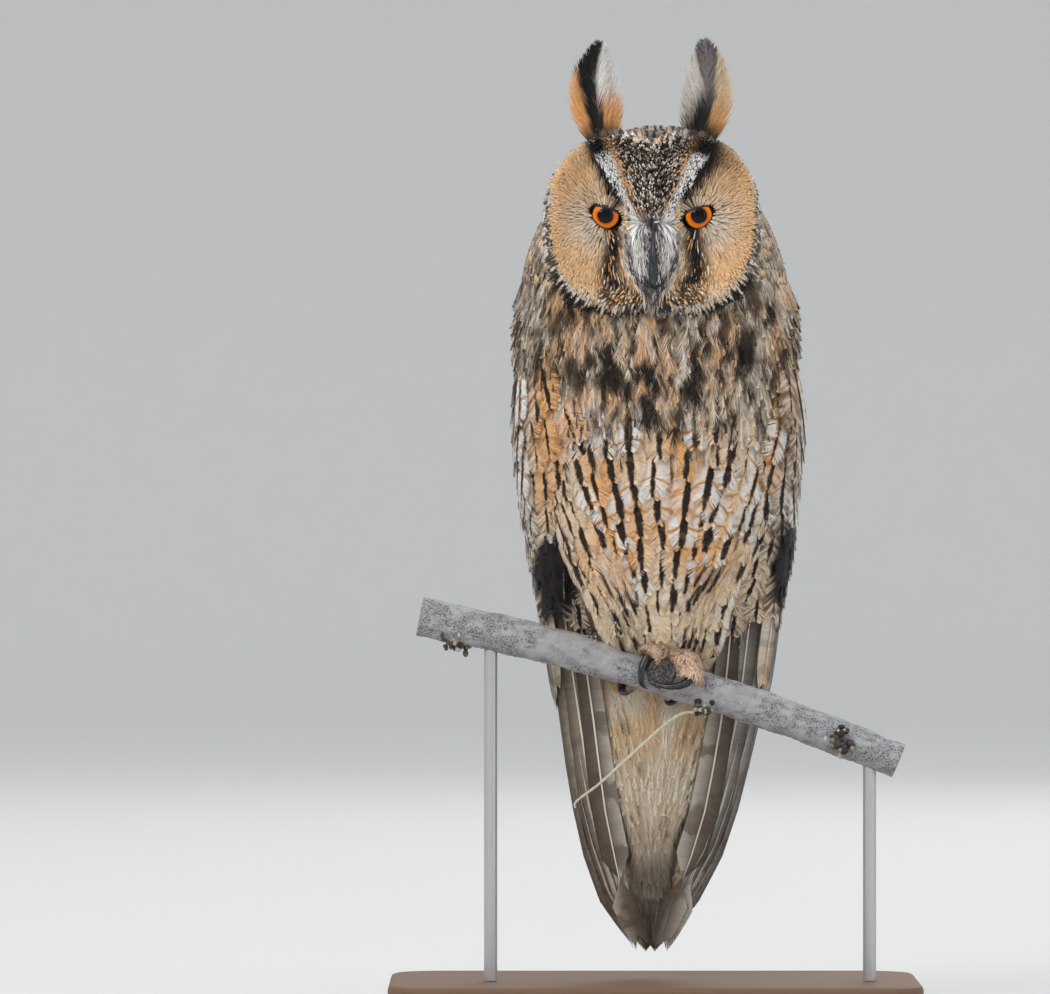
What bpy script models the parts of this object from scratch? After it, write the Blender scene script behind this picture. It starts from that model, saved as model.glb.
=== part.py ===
# Long-eared owl on a cut length of branch, held over a base plate by two rods.
# Metres, +Z up. The owl faces -Y. The origin is the middle of the base's underside.
import math
import random
import bpy
import bmesh
import numpy as np
from mathutils import Vector

GAP = 0.0003                      # space between nodes that meet face to face

# Stand
BASE_LENGTH = 0.240
BASE_WIDTH = 0.150
BASE_HEIGHT = 0.014
BASE_CORNER = 0.024
BASE_BEVEL = 0.002
ROD_RADIUS = 0.003
ROD_RIGHT_SIDE_X = -0.074         # on the owl's right
ROD_LEFT_SIDE_X = 0.097

# Perch: its axis falls to the right, more steeply as it goes
PERCH_START_X = -0.106
PERCH_END_X = 0.110
PERCH_Y = -0.018
PERCH_MID_Z = 0.1525
PERCH_SLOPE = 0.30
PERCH_CURVE = 0.5                 # fall in metres per metre squared
PERCH_RADIUS = 0.0086
PERCH_SIDES = 14
PERCH_RINGS = 12
# Bud clusters on it: place along it, angle round it, size
BUDS = ((-0.0293, 4, 0.0050), (-0.0880, 168, 0.0058), (0.0830, 96, 0.0062), (0.0245, 158, 0.0046))
BUD_GRAINS = 3
KNOT_X = 0.0026
KNOT_RADIUS = 0.0062
KNOT_FRONT_Y = -0.0284
# The thin dead twig that hangs from the last cluster, in front of the tail
TWIG_RADIUS = 0.0007
TWIG_PATH = ((0.0232, -0.0205, 0.1335), (0.0158, -0.0212, 0.1356), (0.0080, -0.0212, 0.1325),
             (-0.0060, -0.0200, 0.1205), (-0.0240, -0.0185, 0.1040), (-0.0350, -0.0180, 0.0955), (-0.0360, -0.0180, 0.0922))

# Sections from the top down: height, half width, middle x, front y, back y
HEAD_STATIONS = np.array((
    (0.4000, 0.0110, 0.002, -0.026, 0.000),
    (0.3960, 0.0255, 0.002, -0.034, 0.009),
    (0.3900, 0.0350, 0.002, -0.039, 0.016),
    (0.3800, 0.0425, 0.001, -0.042, 0.024),
    (0.3680, 0.0480, 0.000, -0.043, 0.031),
    (0.3550, 0.0545, 0.000, -0.043, 0.037),
    (0.3400, 0.0600, 0.000, -0.043, 0.041),
    (0.3210, 0.0635, 0.001, -0.043, 0.045),
    (0.3000, 0.0655, 0.001, -0.046, 0.048),
    (0.2800, 0.0670, 0.002, -0.050, 0.049),
))
TORSO_STATIONS = np.array((
    (0.3210, 0.0600, 0.001, -0.043, 0.0415),
    (0.3050, 0.0615, 0.001, -0.045, 0.0430),
    (0.2900, 0.0615, 0.001, -0.048, 0.0440),
    (0.2760, 0.0605, 0.002, -0.050, 0.0440),
    (0.2540, 0.0585, 0.002, -0.052, 0.0430),
    (0.2310, 0.0545, 0.002, -0.051, 0.0400),
    (0.2040, 0.0475, 0.002, -0.046, 0.0350),
    (0.1820, 0.0410, 0.002, -0.038, 0.0310),
    (0.1680, 0.0375, 0.003, -0.030, 0.0290),
    (0.1580, 0.0350, 0.003, -0.014, 0.0270),
    (0.1500, 0.0335, 0.003, -0.0085, 0.0255),
))
WING_STATIONS = np.array((
    (0.3080, 0.0648, 0.001, -0.045, 0.047),
    (0.2960, 0.0662, 0.001, -0.047, 0.049),
    (0.2760, 0.0672, 0.002, -0.050, 0.050),
    (0.2540, 0.0664, 0.002, -0.050, 0.048),
    (0.2310, 0.0642, 0.002, -0.043, 0.045),
    (0.2040, 0.0605, 0.003, -0.031, 0.041),
    (0.1820, 0.0560, 0.003, -0.019, 0.037),
    (0.1590, 0.0520, 0.003, -0.012, 0.034),
    (0.1410, 0.0488, 0.003, -0.011, 0.031),
    (0.1190, 0.0440, 0.002, -0.009, 0.028),
    (0.0960, 0.0385, 0.001, -0.006, 0.025),
    (0.0740, 0.0320, 0.000, -0.002, 0.022),
    (0.0510, 0.0216, -0.002, 0.003, 0.019),
    (0.0340, 0.0105, -0.002, 0.007, 0.016),
    (0.0240, 0.0040, -0.001, 0.009, 0.014),
))
TAIL_STATIONS = np.array((
    (0.1497, 0.0330, 0.003, -0.0080, 0.0250),
    (0.1300, 0.0270, 0.002, -0.0080, 0.0210),
    (0.1100, 0.0230, 0.001, -0.0060, 0.0180),
    (0.0920, 0.0180, 0.000, -0.0030, 0.0140),
    (0.0780, 0.0090, -0.001, 0.0010, 0.0090),
))
SECTION_POWER = 2.25              # 2 is an ellipse, more is boxier
RING_POINTS = 26

# Cuts between head, neck and torso: height over the axis and rise per metre of y
HEAD_CUT_Z = 0.328
NECK_CUT_Z = 0.300
HEAD_CUT_RISE = 0.36
NECK_CUT_RISE = 0.20

# Wings: height, front edge angle of the right wing, of the left wing, back edge angle, depth
WING_EDGES = np.array((
    (0.308, 60.0, 68.0, 156.0, 0.0070),
    (0.296, 50.0, 62.0, 163.0, 0.0080),
    (0.280, 38.0, 54.0, 170.0, 0.0095),
    (0.262, 29.0, 50.0, 173.0, 0.0110),
    (0.244, 23.0, 44.0, 174.0, 0.0125),
    (0.218, 27.0, 38.0, 174.0, 0.0145),
    (0.185, 36.0, 29.0, 174.0, 0.0130),
    (0.165, 35.0, 28.0, 174.0, 0.0085),
    (0.148, 34.0, 28.0, 174.0, 0.0055),
    (0.120, 32.0, 29.0, 173.0, 0.0026),
    (0.085, 30.0, 29.0, 172.0, 0.0022),
    (0.051, 24.0, 24.0, 166.0, 0.0018),
    (0.026, 21.0, 21.0, 158.0, 0.0012),
))
WING_CORE_END_Z = 0.148
WING_COLUMNS = 11
WING_ROWS = 10
CORE_SUNK = 0.0018                # depth of the wing's core under the tips of its feathers
VANE_THICKNESS = 0.0008
VANE_OVERLAP = 0.74               # half width of a feather over the spacing of its tier
WING_TOP_DROP = 0.0020
PRIMARY_TIPS = (0.0285, 0.0262, 0.0300, 0.0370, 0.0490, 0.0670, 0.0900)
SECONDARY_TIPS = (0.1500, 0.1400, 0.1340, 0.1320, 0.1350, 0.1420)
COVERT_TIPS = (0.2260, 0.2160, 0.2120, 0.2140, 0.2200, 0.2280)

# Tail feathers: one in the middle and three pairs, the outer ones in front
TAIL_PAIRS = 3
TAIL_SPACING = 0.0046
TAIL_VANE_HALF = 0.0043
TAIL_LAYER = 0.0012
TAIL_BACK_Y = 0.0148
TAIL_ROOT_Z = 0.118
TAIL_TIP_Z = 0.0380

# Face
DISC_X = -0.0015
DISC_Z = 0.3560
DISC_HALF_WIDTH = 0.0462
DISC_HALF_HEIGHT = 0.0405
DISC_POWER = 2.35
DISC_RIM_Y = -0.0475
DISC_MIDDLE_Y = -0.0310
DISC_BACK_Y = -0.0040
DISC_DIP = 0.0050
DISC_RIDGE = 0.0065
DISC_POINTS = 32
EYE_RADIUS = 0.0084
EYE_LEFT_X = 0.0198
EYE_RIGHT_X = -0.0228
EYE_Z = 0.3583
EYE_Y = -0.0392
LID_THICKNESS = 0.0009
UPPER_LID_LINE = 0.0049
LOWER_LID_LINE = -0.0057
UPPER_LID_SLANT = 0.26

# Bill
BILL_X = -0.0012

# Ear tufts: root x, root z, tip x, tip z, greatest width
TUFT_RIGHT = (-0.0240, 0.3900, -0.0258, 0.4385, 0.0215)
TUFT_LEFT = (0.0185, 0.3900, 0.0228, 0.4395, 0.0270)
TUFT_ROOT_Y = -0.0240
TUFT_TIP_Y = -0.0140
TUFT_VANES = 5
TUFT_VANE_SHARE = 0.21            # half width of one feather as a share of the tuft's
TUFT_SHORTENING = 0.30
TUFT_LAYER = 0.0012

# Standing foot, in the perch's own coordinates: place along it, angle round it
TOE_RADIUS = 0.0046
TOE_SINK = 0.0011                 # how far a toe's underside is pressed into what it holds
CLAW_RADIUS = 0.0019


def clear_scene():
    for item in list(bpy.data.objects):
        bpy.data.objects.remove(item, do_unlink=True)


def material(name, colour, roughness, metallic=0.0):
    made = bpy.data.materials.get(name)
    if made is None:
        made = bpy.data.materials.new(name)
        made.use_nodes = True
        shader = made.node_tree.nodes["Principled BSDF"]
        shader.inputs["Base Color"].default_value = (*colour, 1.0)
        shader.inputs["Roughness"].default_value = roughness
        shader.inputs["Metallic"].default_value = metallic
    return made


def plumage():
    return material("plumage", (0.55, 0.38, 0.22), 0.85)


def pale_down():
    return material("pale_down", (0.66, 0.48, 0.30), 0.9)


def horn():
    return material("horn", (0.03, 0.03, 0.035), 0.35)


def bark():
    return material("bark", (0.30, 0.29, 0.29), 0.9)


def mesh_object(name, points, faces, finish):
    mesh = bpy.data.meshes.new(name)
    mesh.from_pydata([tuple(map(float, p)) for p in points], [], [tuple(map(int, f)) for f in faces])
    mesh.materials.append(finish)
    made = bpy.data.objects.new(name, mesh)
    bpy.context.scene.collection.objects.link(made)
    work = bmesh.new()
    work.from_mesh(mesh)
    bmesh.ops.recalc_face_normals(work, faces=work.faces)
    work.to_mesh(mesh)
    work.free()
    mesh.shade_smooth()
    mesh.set_sharp_from_angle(angle=math.radians(40.0))
    return made


# Rings of equal count joined by quads, with the two ends closed by a fan
def loft(name, rings, finish):
    rings = np.asarray(rings)
    count, around, _ = rings.shape
    points = list(rings.reshape(-1, 3))
    faces = []
    for row in range(count - 1):
        for k in range(around):
            here = row * around + k
            side = row * around + (k + 1) % around
            faces.append((here, side, side + around))
            faces.append((here, side + around, here + around))
    for row in (0, count - 1):
        hub = len(points)
        points.append(rings[row].mean(axis=0))
        for k in range(around):
            faces.append((hub, row * around + k, row * around + (k + 1) % around))
    return mesh_object(name, points, faces, finish)


# Two like grids, one over the other, closed round their border, split alike on both faces
def sheet(name, outer, inner, finish):
    rows, columns, _ = outer.shape
    points = np.concatenate((outer.reshape(-1, 3), inner.reshape(-1, 3)))
    under = rows * columns
    faces = []
    for row in range(rows - 1):
        for column in range(columns - 1):
            a = row * columns + column
            b = a + 1
            c = a + columns + 1
            d = a + columns
            faces += [(a, b, c), (a, c, d)]
            faces += [(a + under, c + under, b + under), (a + under, d + under, c + under)]
    border = list(range(columns))
    border += [row * columns + columns - 1 for row in range(1, rows)]
    border += [(rows - 1) * columns + column for column in range(columns - 2, -1, -1)]
    border += [row * columns for row in range(rows - 2, 0, -1)]
    for here, there in zip(border, border[1:] + border[:1]):
        faces += [(here, there + under, there), (here, here + under, there + under)]
    return mesh_object(name, points, faces, finish)


# A round tube along points, its radius changing from point to point
def tube(name, path, radii, sides, finish):
    path = np.asarray(path, dtype=float)
    along = np.gradient(path, axis=0)
    along /= np.linalg.norm(along, axis=1)[:, None]
    side = np.cross(along[0], (0.0, 1.0, 0.3))
    rings = []
    for place, forward, radius in zip(path, along, radii):
        side = side - forward * side.dot(forward)
        side /= np.linalg.norm(side)
        other = np.cross(forward, side)
        angles = np.arange(sides) * 2.0 * math.pi / sides
        rings.append(place + radius * (np.outer(np.cos(angles), side) + np.outer(np.sin(angles), other)))
    return loft(name, rings, finish)


def remove(item):
    mesh = item.data
    bpy.data.objects.remove(item, do_unlink=True)
    bpy.data.meshes.remove(mesh)


# The same solid with every face moved out by one distance
def grown(item, distance):
    copy = bpy.data.objects.new(item.name + "_grown", item.data.copy())
    bpy.context.scene.collection.objects.link(copy)
    work = bmesh.new()
    work.from_mesh(copy.data)
    work.normal_update()
    moved = [v.co + v.normal * distance * min(v.calc_shell_factor(), 3.0) for v in work.verts]
    for vertex, place in zip(work.verts, moved):
        vertex.co = place
    work.to_mesh(copy.data)
    work.free()
    return copy


def keep_largest(item):
    work = bmesh.new()
    work.from_mesh(item.data)
    left = set(work.faces)
    groups = []
    while left:
        seed = left.pop()
        group = [seed]
        queue = [seed]
        while queue:
            face = queue.pop()
            nearby = [near for edge in face.edges if len(edge.link_faces) == 2 for near in edge.link_faces]
            for near in nearby:
                if near in left:
                    left.discard(near)
                    group.append(near)
                    queue.append(near)
        groups.append(group)
    groups.sort(key=lambda faces: sum(f.calc_area() for f in faces))
    loose = [face for group in groups[:-1] for face in group]
    bmesh.ops.delete(work, geom=loose, context="FACES")
    bmesh.ops.delete(work, geom=[v for v in work.verts if not v.link_faces], context="VERTS")
    work.to_mesh(item.data)
    work.free()


def apply_boolean(item, others, operation, solver):
    group = bpy.data.collections.new("operands")
    bpy.context.scene.collection.children.link(group)
    for other in others:
        group.objects.link(other)
    change = item.modifiers.new("join", "BOOLEAN")
    change.operation = operation
    change.operand_type = "COLLECTION"
    change.collection = group
    change.solver = solver
    bpy.context.view_layer.update()
    with bpy.context.temp_override(object=item, active_object=item, selected_objects=[item]):
        bpy.ops.object.modifier_apply(modifier=change.name)
    for other in others:
        remove(other)
    bpy.data.collections.remove(group)
    tidy = bmesh.new()
    tidy.from_mesh(item.data)
    bmesh.ops.remove_doubles(tidy, verts=tidy.verts, dist=0.0000002)
    bmesh.ops.dissolve_degenerate(tidy, edges=tidy.edges, dist=0.000002)
    bmesh.ops.triangulate(tidy, faces=tidy.faces)
    tidy.to_mesh(item.data)
    tidy.free()
    keep_largest(item)
    item.data.shade_smooth()
    item.data.set_sharp_from_angle(angle=math.radians(40.0))
    return item


# The exact solver leaves open edges in the many thin layers, so these two use the other one
def fuse(item, others):
    return apply_boolean(item, others, "UNION", "MANIFOLD")


def cut_clear(item, neighbours):
    return apply_boolean(item, [grown(n, GAP) for n in neighbours], "DIFFERENCE", "MANIFOLD")


# Smooth curve through stations: a cubic between each pair, with the slopes of their neighbours
def smooth(x, xs, ys):
    order = np.argsort(xs)
    xs = np.asarray(xs, dtype=float)[order]
    ys = np.asarray(ys, dtype=float)[order]
    slopes = np.gradient(ys, xs)
    x = np.clip(x, xs[0], xs[-1])
    k = np.clip(np.searchsorted(xs, x) - 1, 0, len(xs) - 2)
    h = xs[k + 1] - xs[k]
    t = (x - xs[k]) / h
    return ((1 + 2 * t) * (1 - t) ** 2 * ys[k] + t * (1 - t) ** 2 * h * slopes[k]
            + t * t * (3 - 2 * t) * ys[k + 1] + t * t * (t - 1) * h * slopes[k + 1])


# Point of a section: angle 0 is the front, 90 degrees is the owl's left, sunk in by a depth
def section_point(stations, z, degrees, sunk=0.0):
    angle = np.radians(degrees)
    half = smooth(z, stations[:, 0], stations[:, 1]) - sunk
    middle = smooth(z, stations[:, 0], stations[:, 2])
    front = smooth(z, stations[:, 0], stations[:, 3]) + sunk
    back = smooth(z, stations[:, 0], stations[:, 4]) - sunk
    centre = (front + back) / 2.0
    deep = (back - front) / 2.0
    power = 2.0 / SECTION_POWER
    x = middle + half * np.sign(np.sin(angle)) * np.abs(np.sin(angle)) ** power
    y = centre - deep * np.sign(np.cos(angle)) * np.abs(np.cos(angle)) ** power
    return np.stack((x, y, z + 0.0 * x), axis=-1)


def body_loft(name, stations, heights, finish):
    degrees = np.arange(RING_POINTS) * 360.0 / RING_POINTS
    rings = [section_point(stations, np.full(RING_POINTS, z), degrees) for z in heights]
    return loft(name, rings, finish)


# Part of a solid above or below a plane that rises with y
def keep_side(item, height, rise, above):
    work = bmesh.new()
    work.from_mesh(item.data)
    normal = Vector((0.0, -rise, 1.0)).normalized()
    cut = bmesh.ops.bisect_plane(work, geom=work.verts[:] + work.edges[:] + work.faces[:],
                                 plane_co=(0.0, 0.0, height), plane_no=normal,
                                 clear_inner=above, clear_outer=not above)
    rim = [g for g in cut["geom_cut"] if isinstance(g, bmesh.types.BMEdge)]
    bmesh.ops.holes_fill(work, edges=rim)
    bmesh.ops.triangulate(work, faces=work.faces)
    bmesh.ops.recalc_face_normals(work, faces=work.faces)
    work.to_mesh(item.data)
    work.free()


def perch_z(x):
    return PERCH_MID_Z - PERCH_SLOPE * x - PERCH_CURVE * x * x


def ball(name, centre, radius, finish, stretch=(1.0, 1.0, 1.0), columns=14, rows=10):
    lat = np.linspace(0.0, math.pi, rows + 1)[1:-1]
    lon = np.arange(columns) * 2.0 * math.pi / columns
    rings = []
    for a in [0.04] + list(lat) + [math.pi - 0.04]:
        ring = np.stack((np.sin(a) * np.cos(lon), np.sin(a) * np.sin(lon), 0 * lon + np.cos(a)), axis=-1)
        rings.append(np.array(centre) + ring * radius * np.array(stretch))
    return loft(name, rings, finish)


# A row of points turned into a smooth path of more points
def eased(points, count):
    points = np.asarray(points, dtype=float)
    knots = np.arange(len(points))
    steps = np.linspace(0, len(points) - 1, count)
    return np.stack([smooth(steps, knots, points[:, axis]) for axis in range(points.shape[1])], axis=-1)


# Point by the perch: place along it, angle round it (0 top, 90 toward the viewer), distance out
def by_perch(x, degrees, out):
    slope = -PERCH_SLOPE - 2.0 * PERCH_CURVE * x
    up = np.array((-slope, 0.0, 1.0)) / math.hypot(slope, 1.0)
    angle = math.radians(degrees)
    middle = np.array((x, PERCH_Y, perch_z(x)))
    return middle + out * (math.cos(angle) * up + math.sin(angle) * np.array((0.0, -1.0, 0.0)))


# The branch, with its clusters of buds as small grains and a cut side shoot between the toes
def make_perch():
    xs = np.linspace(PERCH_START_X, PERCH_END_X, PERCH_RINGS)
    path = [(x, PERCH_Y, perch_z(x)) for x in xs]
    radii = [PERCH_RADIUS * (1.0 - 0.3 * (x - PERCH_START_X)) for x in xs]
    branch = tube("perch", path, radii, PERCH_SIDES, bark())
    chance = random.Random(7)
    grains = []
    for place, degrees, size in BUDS:
        for number in range(BUD_GRAINS):
            along = place + size * 0.75 * (number - (BUD_GRAINS - 1) / 2.0) / BUD_GRAINS * 2.0
            turned = degrees + chance.uniform(-22.0, 22.0)
            grain_size = size * chance.uniform(0.42, 0.60)
            middle = by_perch(along, turned, PERCH_RADIUS + size * chance.uniform(0.05, 0.30))
            grains.append(ball("grain", middle, grain_size, bark(), (1.0, 1.0, 1.15), 6, 3))
    knot_z = perch_z(KNOT_X) + 0.0016
    knot_path = [(KNOT_X, y, knot_z) for y in (PERCH_Y, (PERCH_Y + KNOT_FRONT_Y) / 2.0, KNOT_FRONT_Y)]
    grains.append(tube("knot", knot_path, [KNOT_RADIUS, KNOT_RADIUS, KNOT_RADIUS * 0.93], 12, bark()))
    return fuse(branch, grains)


def make_twig(perch):
    path = eased(TWIG_PATH, 13)
    radii = TWIG_RADIUS * np.interp(np.linspace(0.0, 1.0, 13), (0.0, 0.4, 1.0), (0.9, 1.15, 0.75))
    return cut_clear(tube("perch_twig", path, radii, 5, bark()), [perch])


def make_base():
    work = bmesh.new()
    outline = []
    for corner in range(4):
        turn = math.radians(90.0 * corner)
        cx = (BASE_LENGTH / 2 - BASE_CORNER) * (1 if corner in (0, 3) else -1)
        cy = (BASE_WIDTH / 2 - BASE_CORNER) * (1 if corner in (0, 1) else -1)
        for step in range(7):
            angle = turn + math.radians(15.0 * step)
            x = cx + BASE_CORNER * math.cos(angle)
            y = cy + BASE_CORNER * math.sin(angle)
            outline.append(work.verts.new((x, y, 0.0)))
    face = work.faces.new(outline)
    raised = bmesh.ops.extrude_face_region(work, geom=[face])
    top = [v for v in raised["geom"] if isinstance(v, bmesh.types.BMVert)]
    bmesh.ops.translate(work, verts=top, vec=(0.0, 0.0, BASE_HEIGHT))
    rim = [e for e in work.edges if all(v.co.z > BASE_HEIGHT / 2 for v in e.verts)]
    bmesh.ops.bevel(work, geom=rim, offset=BASE_BEVEL, segments=2, profile=0.5, affect="EDGES")
    bmesh.ops.recalc_face_normals(work, faces=work.faces)
    mesh = bpy.data.meshes.new("stand_base")
    work.to_mesh(mesh)
    work.free()
    mesh.materials.append(material("stand_wood", (0.10, 0.055, 0.03), 0.4))
    made = bpy.data.objects.new("stand_base", mesh)
    bpy.context.scene.collection.objects.link(made)
    mesh.shade_smooth()
    mesh.set_sharp_from_angle(angle=math.radians(40.0))
    return made


def make_rod(name, x, perch):
    steel = material("stand_steel", (0.45, 0.45, 0.46), 0.35, 1.0)
    bottom = BASE_HEIGHT + GAP
    path = [(x, PERCH_Y, z) for z in (bottom, (bottom + perch_z(x)) / 2.0, perch_z(x))]
    rod = tube(name, path, [ROD_RADIUS] * 3, 16, steel)
    return cut_clear(rod, [perch])


def make_torso():
    heights = np.linspace(0.321, 0.150, 13)
    torso = body_loft("torso", TORSO_STATIONS, heights, plumage())
    keep_side(torso, NECK_CUT_Z - GAP / 2, NECK_CUT_RISE, False)
    return torso


def make_neck():
    heights = np.linspace(0.352, 0.284, 8)
    neck = body_loft("neck", HEAD_STATIONS, heights, plumage())
    keep_side(neck, NECK_CUT_Z + GAP / 2, NECK_CUT_RISE, True)
    keep_side(neck, HEAD_CUT_Z - GAP / 2, HEAD_CUT_RISE, False)
    return neck


# Reach of the facial disc from its middle, by the angle from straight up
def disc_reach(angle):
    side = np.abs(np.sin(angle)) / DISC_HALF_WIDTH
    rise = np.abs(np.cos(angle)) / DISC_HALF_HEIGHT
    reach = (side ** DISC_POWER + rise ** DISC_POWER) ** (-1.0 / DISC_POWER)
    chin = np.exp(-((np.abs(angle) - math.pi) / 0.30) ** 2)
    brow = np.exp(-(angle / 0.32) ** 2)
    return reach - 0.004 * chin - 0.007 * brow


# Front of the disc: a dish each side of a ridge that runs from the brow to the bill
def disc_front(x, z, share):
    dish = DISC_DIP * (1.0 - share ** 2.5)
    rim = 0.0016 * np.exp(-((share - 0.93) / 0.07) ** 2)
    along = np.interp(z, (-0.034, -0.022, 0.030, 0.040), (0.2, 0.9, 1.0, 0.3))
    ridge = DISC_RIDGE * np.exp(-(x / 0.0085) ** 2) * along
    return DISC_RIM_Y + dish - rim - ridge


def make_disc():
    angle = np.linspace(-math.pi, math.pi, DISC_POINTS, endpoint=False)
    reach = disc_reach(angle)
    rings = []
    for share in (0.03, 0.16, 0.32, 0.48, 0.64, 0.80, 0.92, 1.0):
        x = reach * share * np.sin(angle)
        z = reach * share * np.cos(angle)
        rings.append(np.stack((DISC_X + x, disc_front(x, z, share), DISC_Z + z), axis=-1))
    for share, y in ((1.02, DISC_RIM_Y + 0.004), (1.01, DISC_MIDDLE_Y), (0.84, DISC_BACK_Y)):
        x = DISC_X + reach * share * np.sin(angle)
        z = DISC_Z + reach * share * np.cos(angle)
        rings.append(np.stack((x, 0 * x + y, z), axis=-1))
    return loft("disc", rings, plumage())


# One lid: the part of a shell over the eye that lies beyond a slanted line
def make_lid(x, upper):
    lid = ball("lid", (x, EYE_Y, EYE_Z), EYE_RADIUS + GAP + LID_THICKNESS, plumage(), columns=14, rows=8)
    inward = -math.copysign(1.0, x - DISC_X)
    slant = UPPER_LID_SLANT if upper else 0.0
    line = EYE_Z + (UPPER_LID_LINE if upper else LOWER_LID_LINE)
    work = bmesh.new()
    work.from_mesh(lid.data)
    normal = Vector((inward * slant, 0.0, 1.0)).normalized()
    cut = bmesh.ops.bisect_plane(work, geom=work.verts[:] + work.edges[:] + work.faces[:],
                                 plane_co=(x, 0.0, line), plane_no=normal,
                                 clear_inner=upper, clear_outer=not upper)
    rim = [g for g in cut["geom_cut"] if isinstance(g, bmesh.types.BMEdge)]
    bmesh.ops.holes_fill(work, edges=rim)
    bmesh.ops.triangulate(work, faces=work.faces)
    bmesh.ops.recalc_face_normals(work, faces=work.faces)
    work.to_mesh(lid.data)
    work.free()
    return lid


def make_eye(name, x):
    amber = material("eye_amber", (0.75, 0.22, 0.02), 0.08)
    return ball(name, (x, EYE_Y, EYE_Z), EYE_RADIUS, amber, columns=14, rows=8)


def make_head(eyes):
    heights = (0.400, 0.398, 0.3945, 0.390, 0.383, 0.375, 0.366, 0.355, 0.344, 0.332, 0.320, 0.308, 0.296)
    head = body_loft("head", HEAD_STATIONS, heights, plumage())
    lids = [make_lid(x, upper) for x in (EYE_LEFT_X, EYE_RIGHT_X) for upper in (True, False)]
    fuse(head, [make_disc()] + lids)
    cut_clear(head, eyes)
    keep_side(head, HEAD_CUT_Z + GAP / 2, HEAD_CUT_RISE, True)
    return head


# Horn carried down a path in the plane of symmetry, with half widths and half depths
def horn_loft(name, path, widths, depths):
    path = np.asarray(path, dtype=float)
    along = np.gradient(path, axis=0)
    along /= np.linalg.norm(along, axis=1)[:, None]
    angles = np.arange(12) * 2.0 * math.pi / 12
    rings = []
    for (y, z), (dy, dz), wide, deep in zip(path, along, widths, depths):
        across = np.cos(angles) * wide
        out = np.sin(angles) * deep
        rings.append(np.stack((BILL_X + across, y - dz * out, z + dy * out), axis=-1))
    return loft(name, rings, horn())


def make_bill(head):
    upper_path = ((-0.0440, 0.3590), (-0.0500, 0.3530), (-0.0545, 0.3460), (-0.0572, 0.3390),
                  (-0.0570, 0.3325), (-0.0545, 0.3278), (-0.0522, 0.3252))
    upper = horn_loft("bill_upper", upper_path, (0.0042, 0.0047, 0.0046, 0.0040, 0.0030, 0.0017, 0.0005),
                      (0.0040, 0.0044, 0.0046, 0.0042, 0.0030, 0.0017, 0.0005))
    lower_path = ((-0.0430, 0.3430), (-0.0490, 0.3385), (-0.0512, 0.3340), (-0.0510, 0.3300), (-0.0505, 0.3285))
    lower = horn_loft("bill_lower", lower_path, (0.0034, 0.0036, 0.0032, 0.0020, 0.0008),
                      (0.0026, 0.0026, 0.0022, 0.0014, 0.0006))
    nostrils = [ball("nostril", (BILL_X + side * 0.0040, -0.0545, 0.3495), 0.0011, horn(), (1.0, 1.0, 1.6), 8, 6)
                for side in (-1, 1)]
    apply_boolean(upper, nostrils, "DIFFERENCE", "EXACT")
    cut_clear(upper, [head])
    cut_clear(lower, [head, upper])


# A feather's half width along it, as a share of the widest
def vane_width(t, root):
    return np.interp(t, (0.0, 0.25, 0.55, 0.80, 0.93, 1.0), (root, 0.95, 1.0, 0.86, 0.56, 0.12))


# One ear tuft: narrow feathers that rise from one root and fan out, each in its own layer
def make_tuft(name, sizes, head):
    root_x, root_z, tip_x, tip_z, width = sizes
    t, u = np.meshgrid(np.linspace(0.0, 1.0, 6), np.linspace(-1.0, 1.0, 3), indexing="ij")
    vanes = []
    for number in range(TUFT_VANES):
        spread = (number - (TUFT_VANES - 1) / 2.0) / ((TUFT_VANES - 1) / 2.0)
        reach = 1.0 - TUFT_SHORTENING * abs(spread) ** 1.5
        lean = spread * width * (0.12 + 0.30 * np.sin(t * 2.2))
        x = root_x + (tip_x - root_x) * t * reach + lean + u * width * TUFT_VANE_SHARE * vane_width(t, 0.7)
        z = root_z + (tip_z - root_z) * t * reach - 0.002 * np.abs(u) * t ** 4
        y = TUFT_ROOT_Y + (TUFT_TIP_Y - TUFT_ROOT_Y) * t + TUFT_LAYER * (number - (TUFT_VANES - 1) / 2.0)
        thick = VANE_THICKNESS * (1.0 - 0.55 * t)
        front = np.stack((x, y - thick / 2 + 0.0005 * u * u, z), axis=-1)
        behind = np.stack((x, y + thick / 2 + 0.0005 * u * u, z), axis=-1)
        vanes.append(sheet("vane", front, behind, plumage()))
    middle = (root_x, TUFT_ROOT_Y + 0.0012, root_z - 0.0005)
    tuft = ball(name, middle, width * 0.34, plumage(), (0.80, 0.36, 1.0), 10, 6)
    fuse(tuft, vanes)
    return cut_clear(tuft, [head])


# The wing's surface by the share of the way from its front edge to its back edge
def wing_point(side, share, z, sunk=0.0):
    front = smooth(z, WING_EDGES[:, 0], WING_EDGES[:, 1 if side < 0 else 2])
    back = smooth(z, WING_EDGES[:, 0], WING_EDGES[:, 3])
    degrees = front + (back - front) * share
    return section_point(WING_STATIONS, z, side * degrees, sunk)


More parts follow.
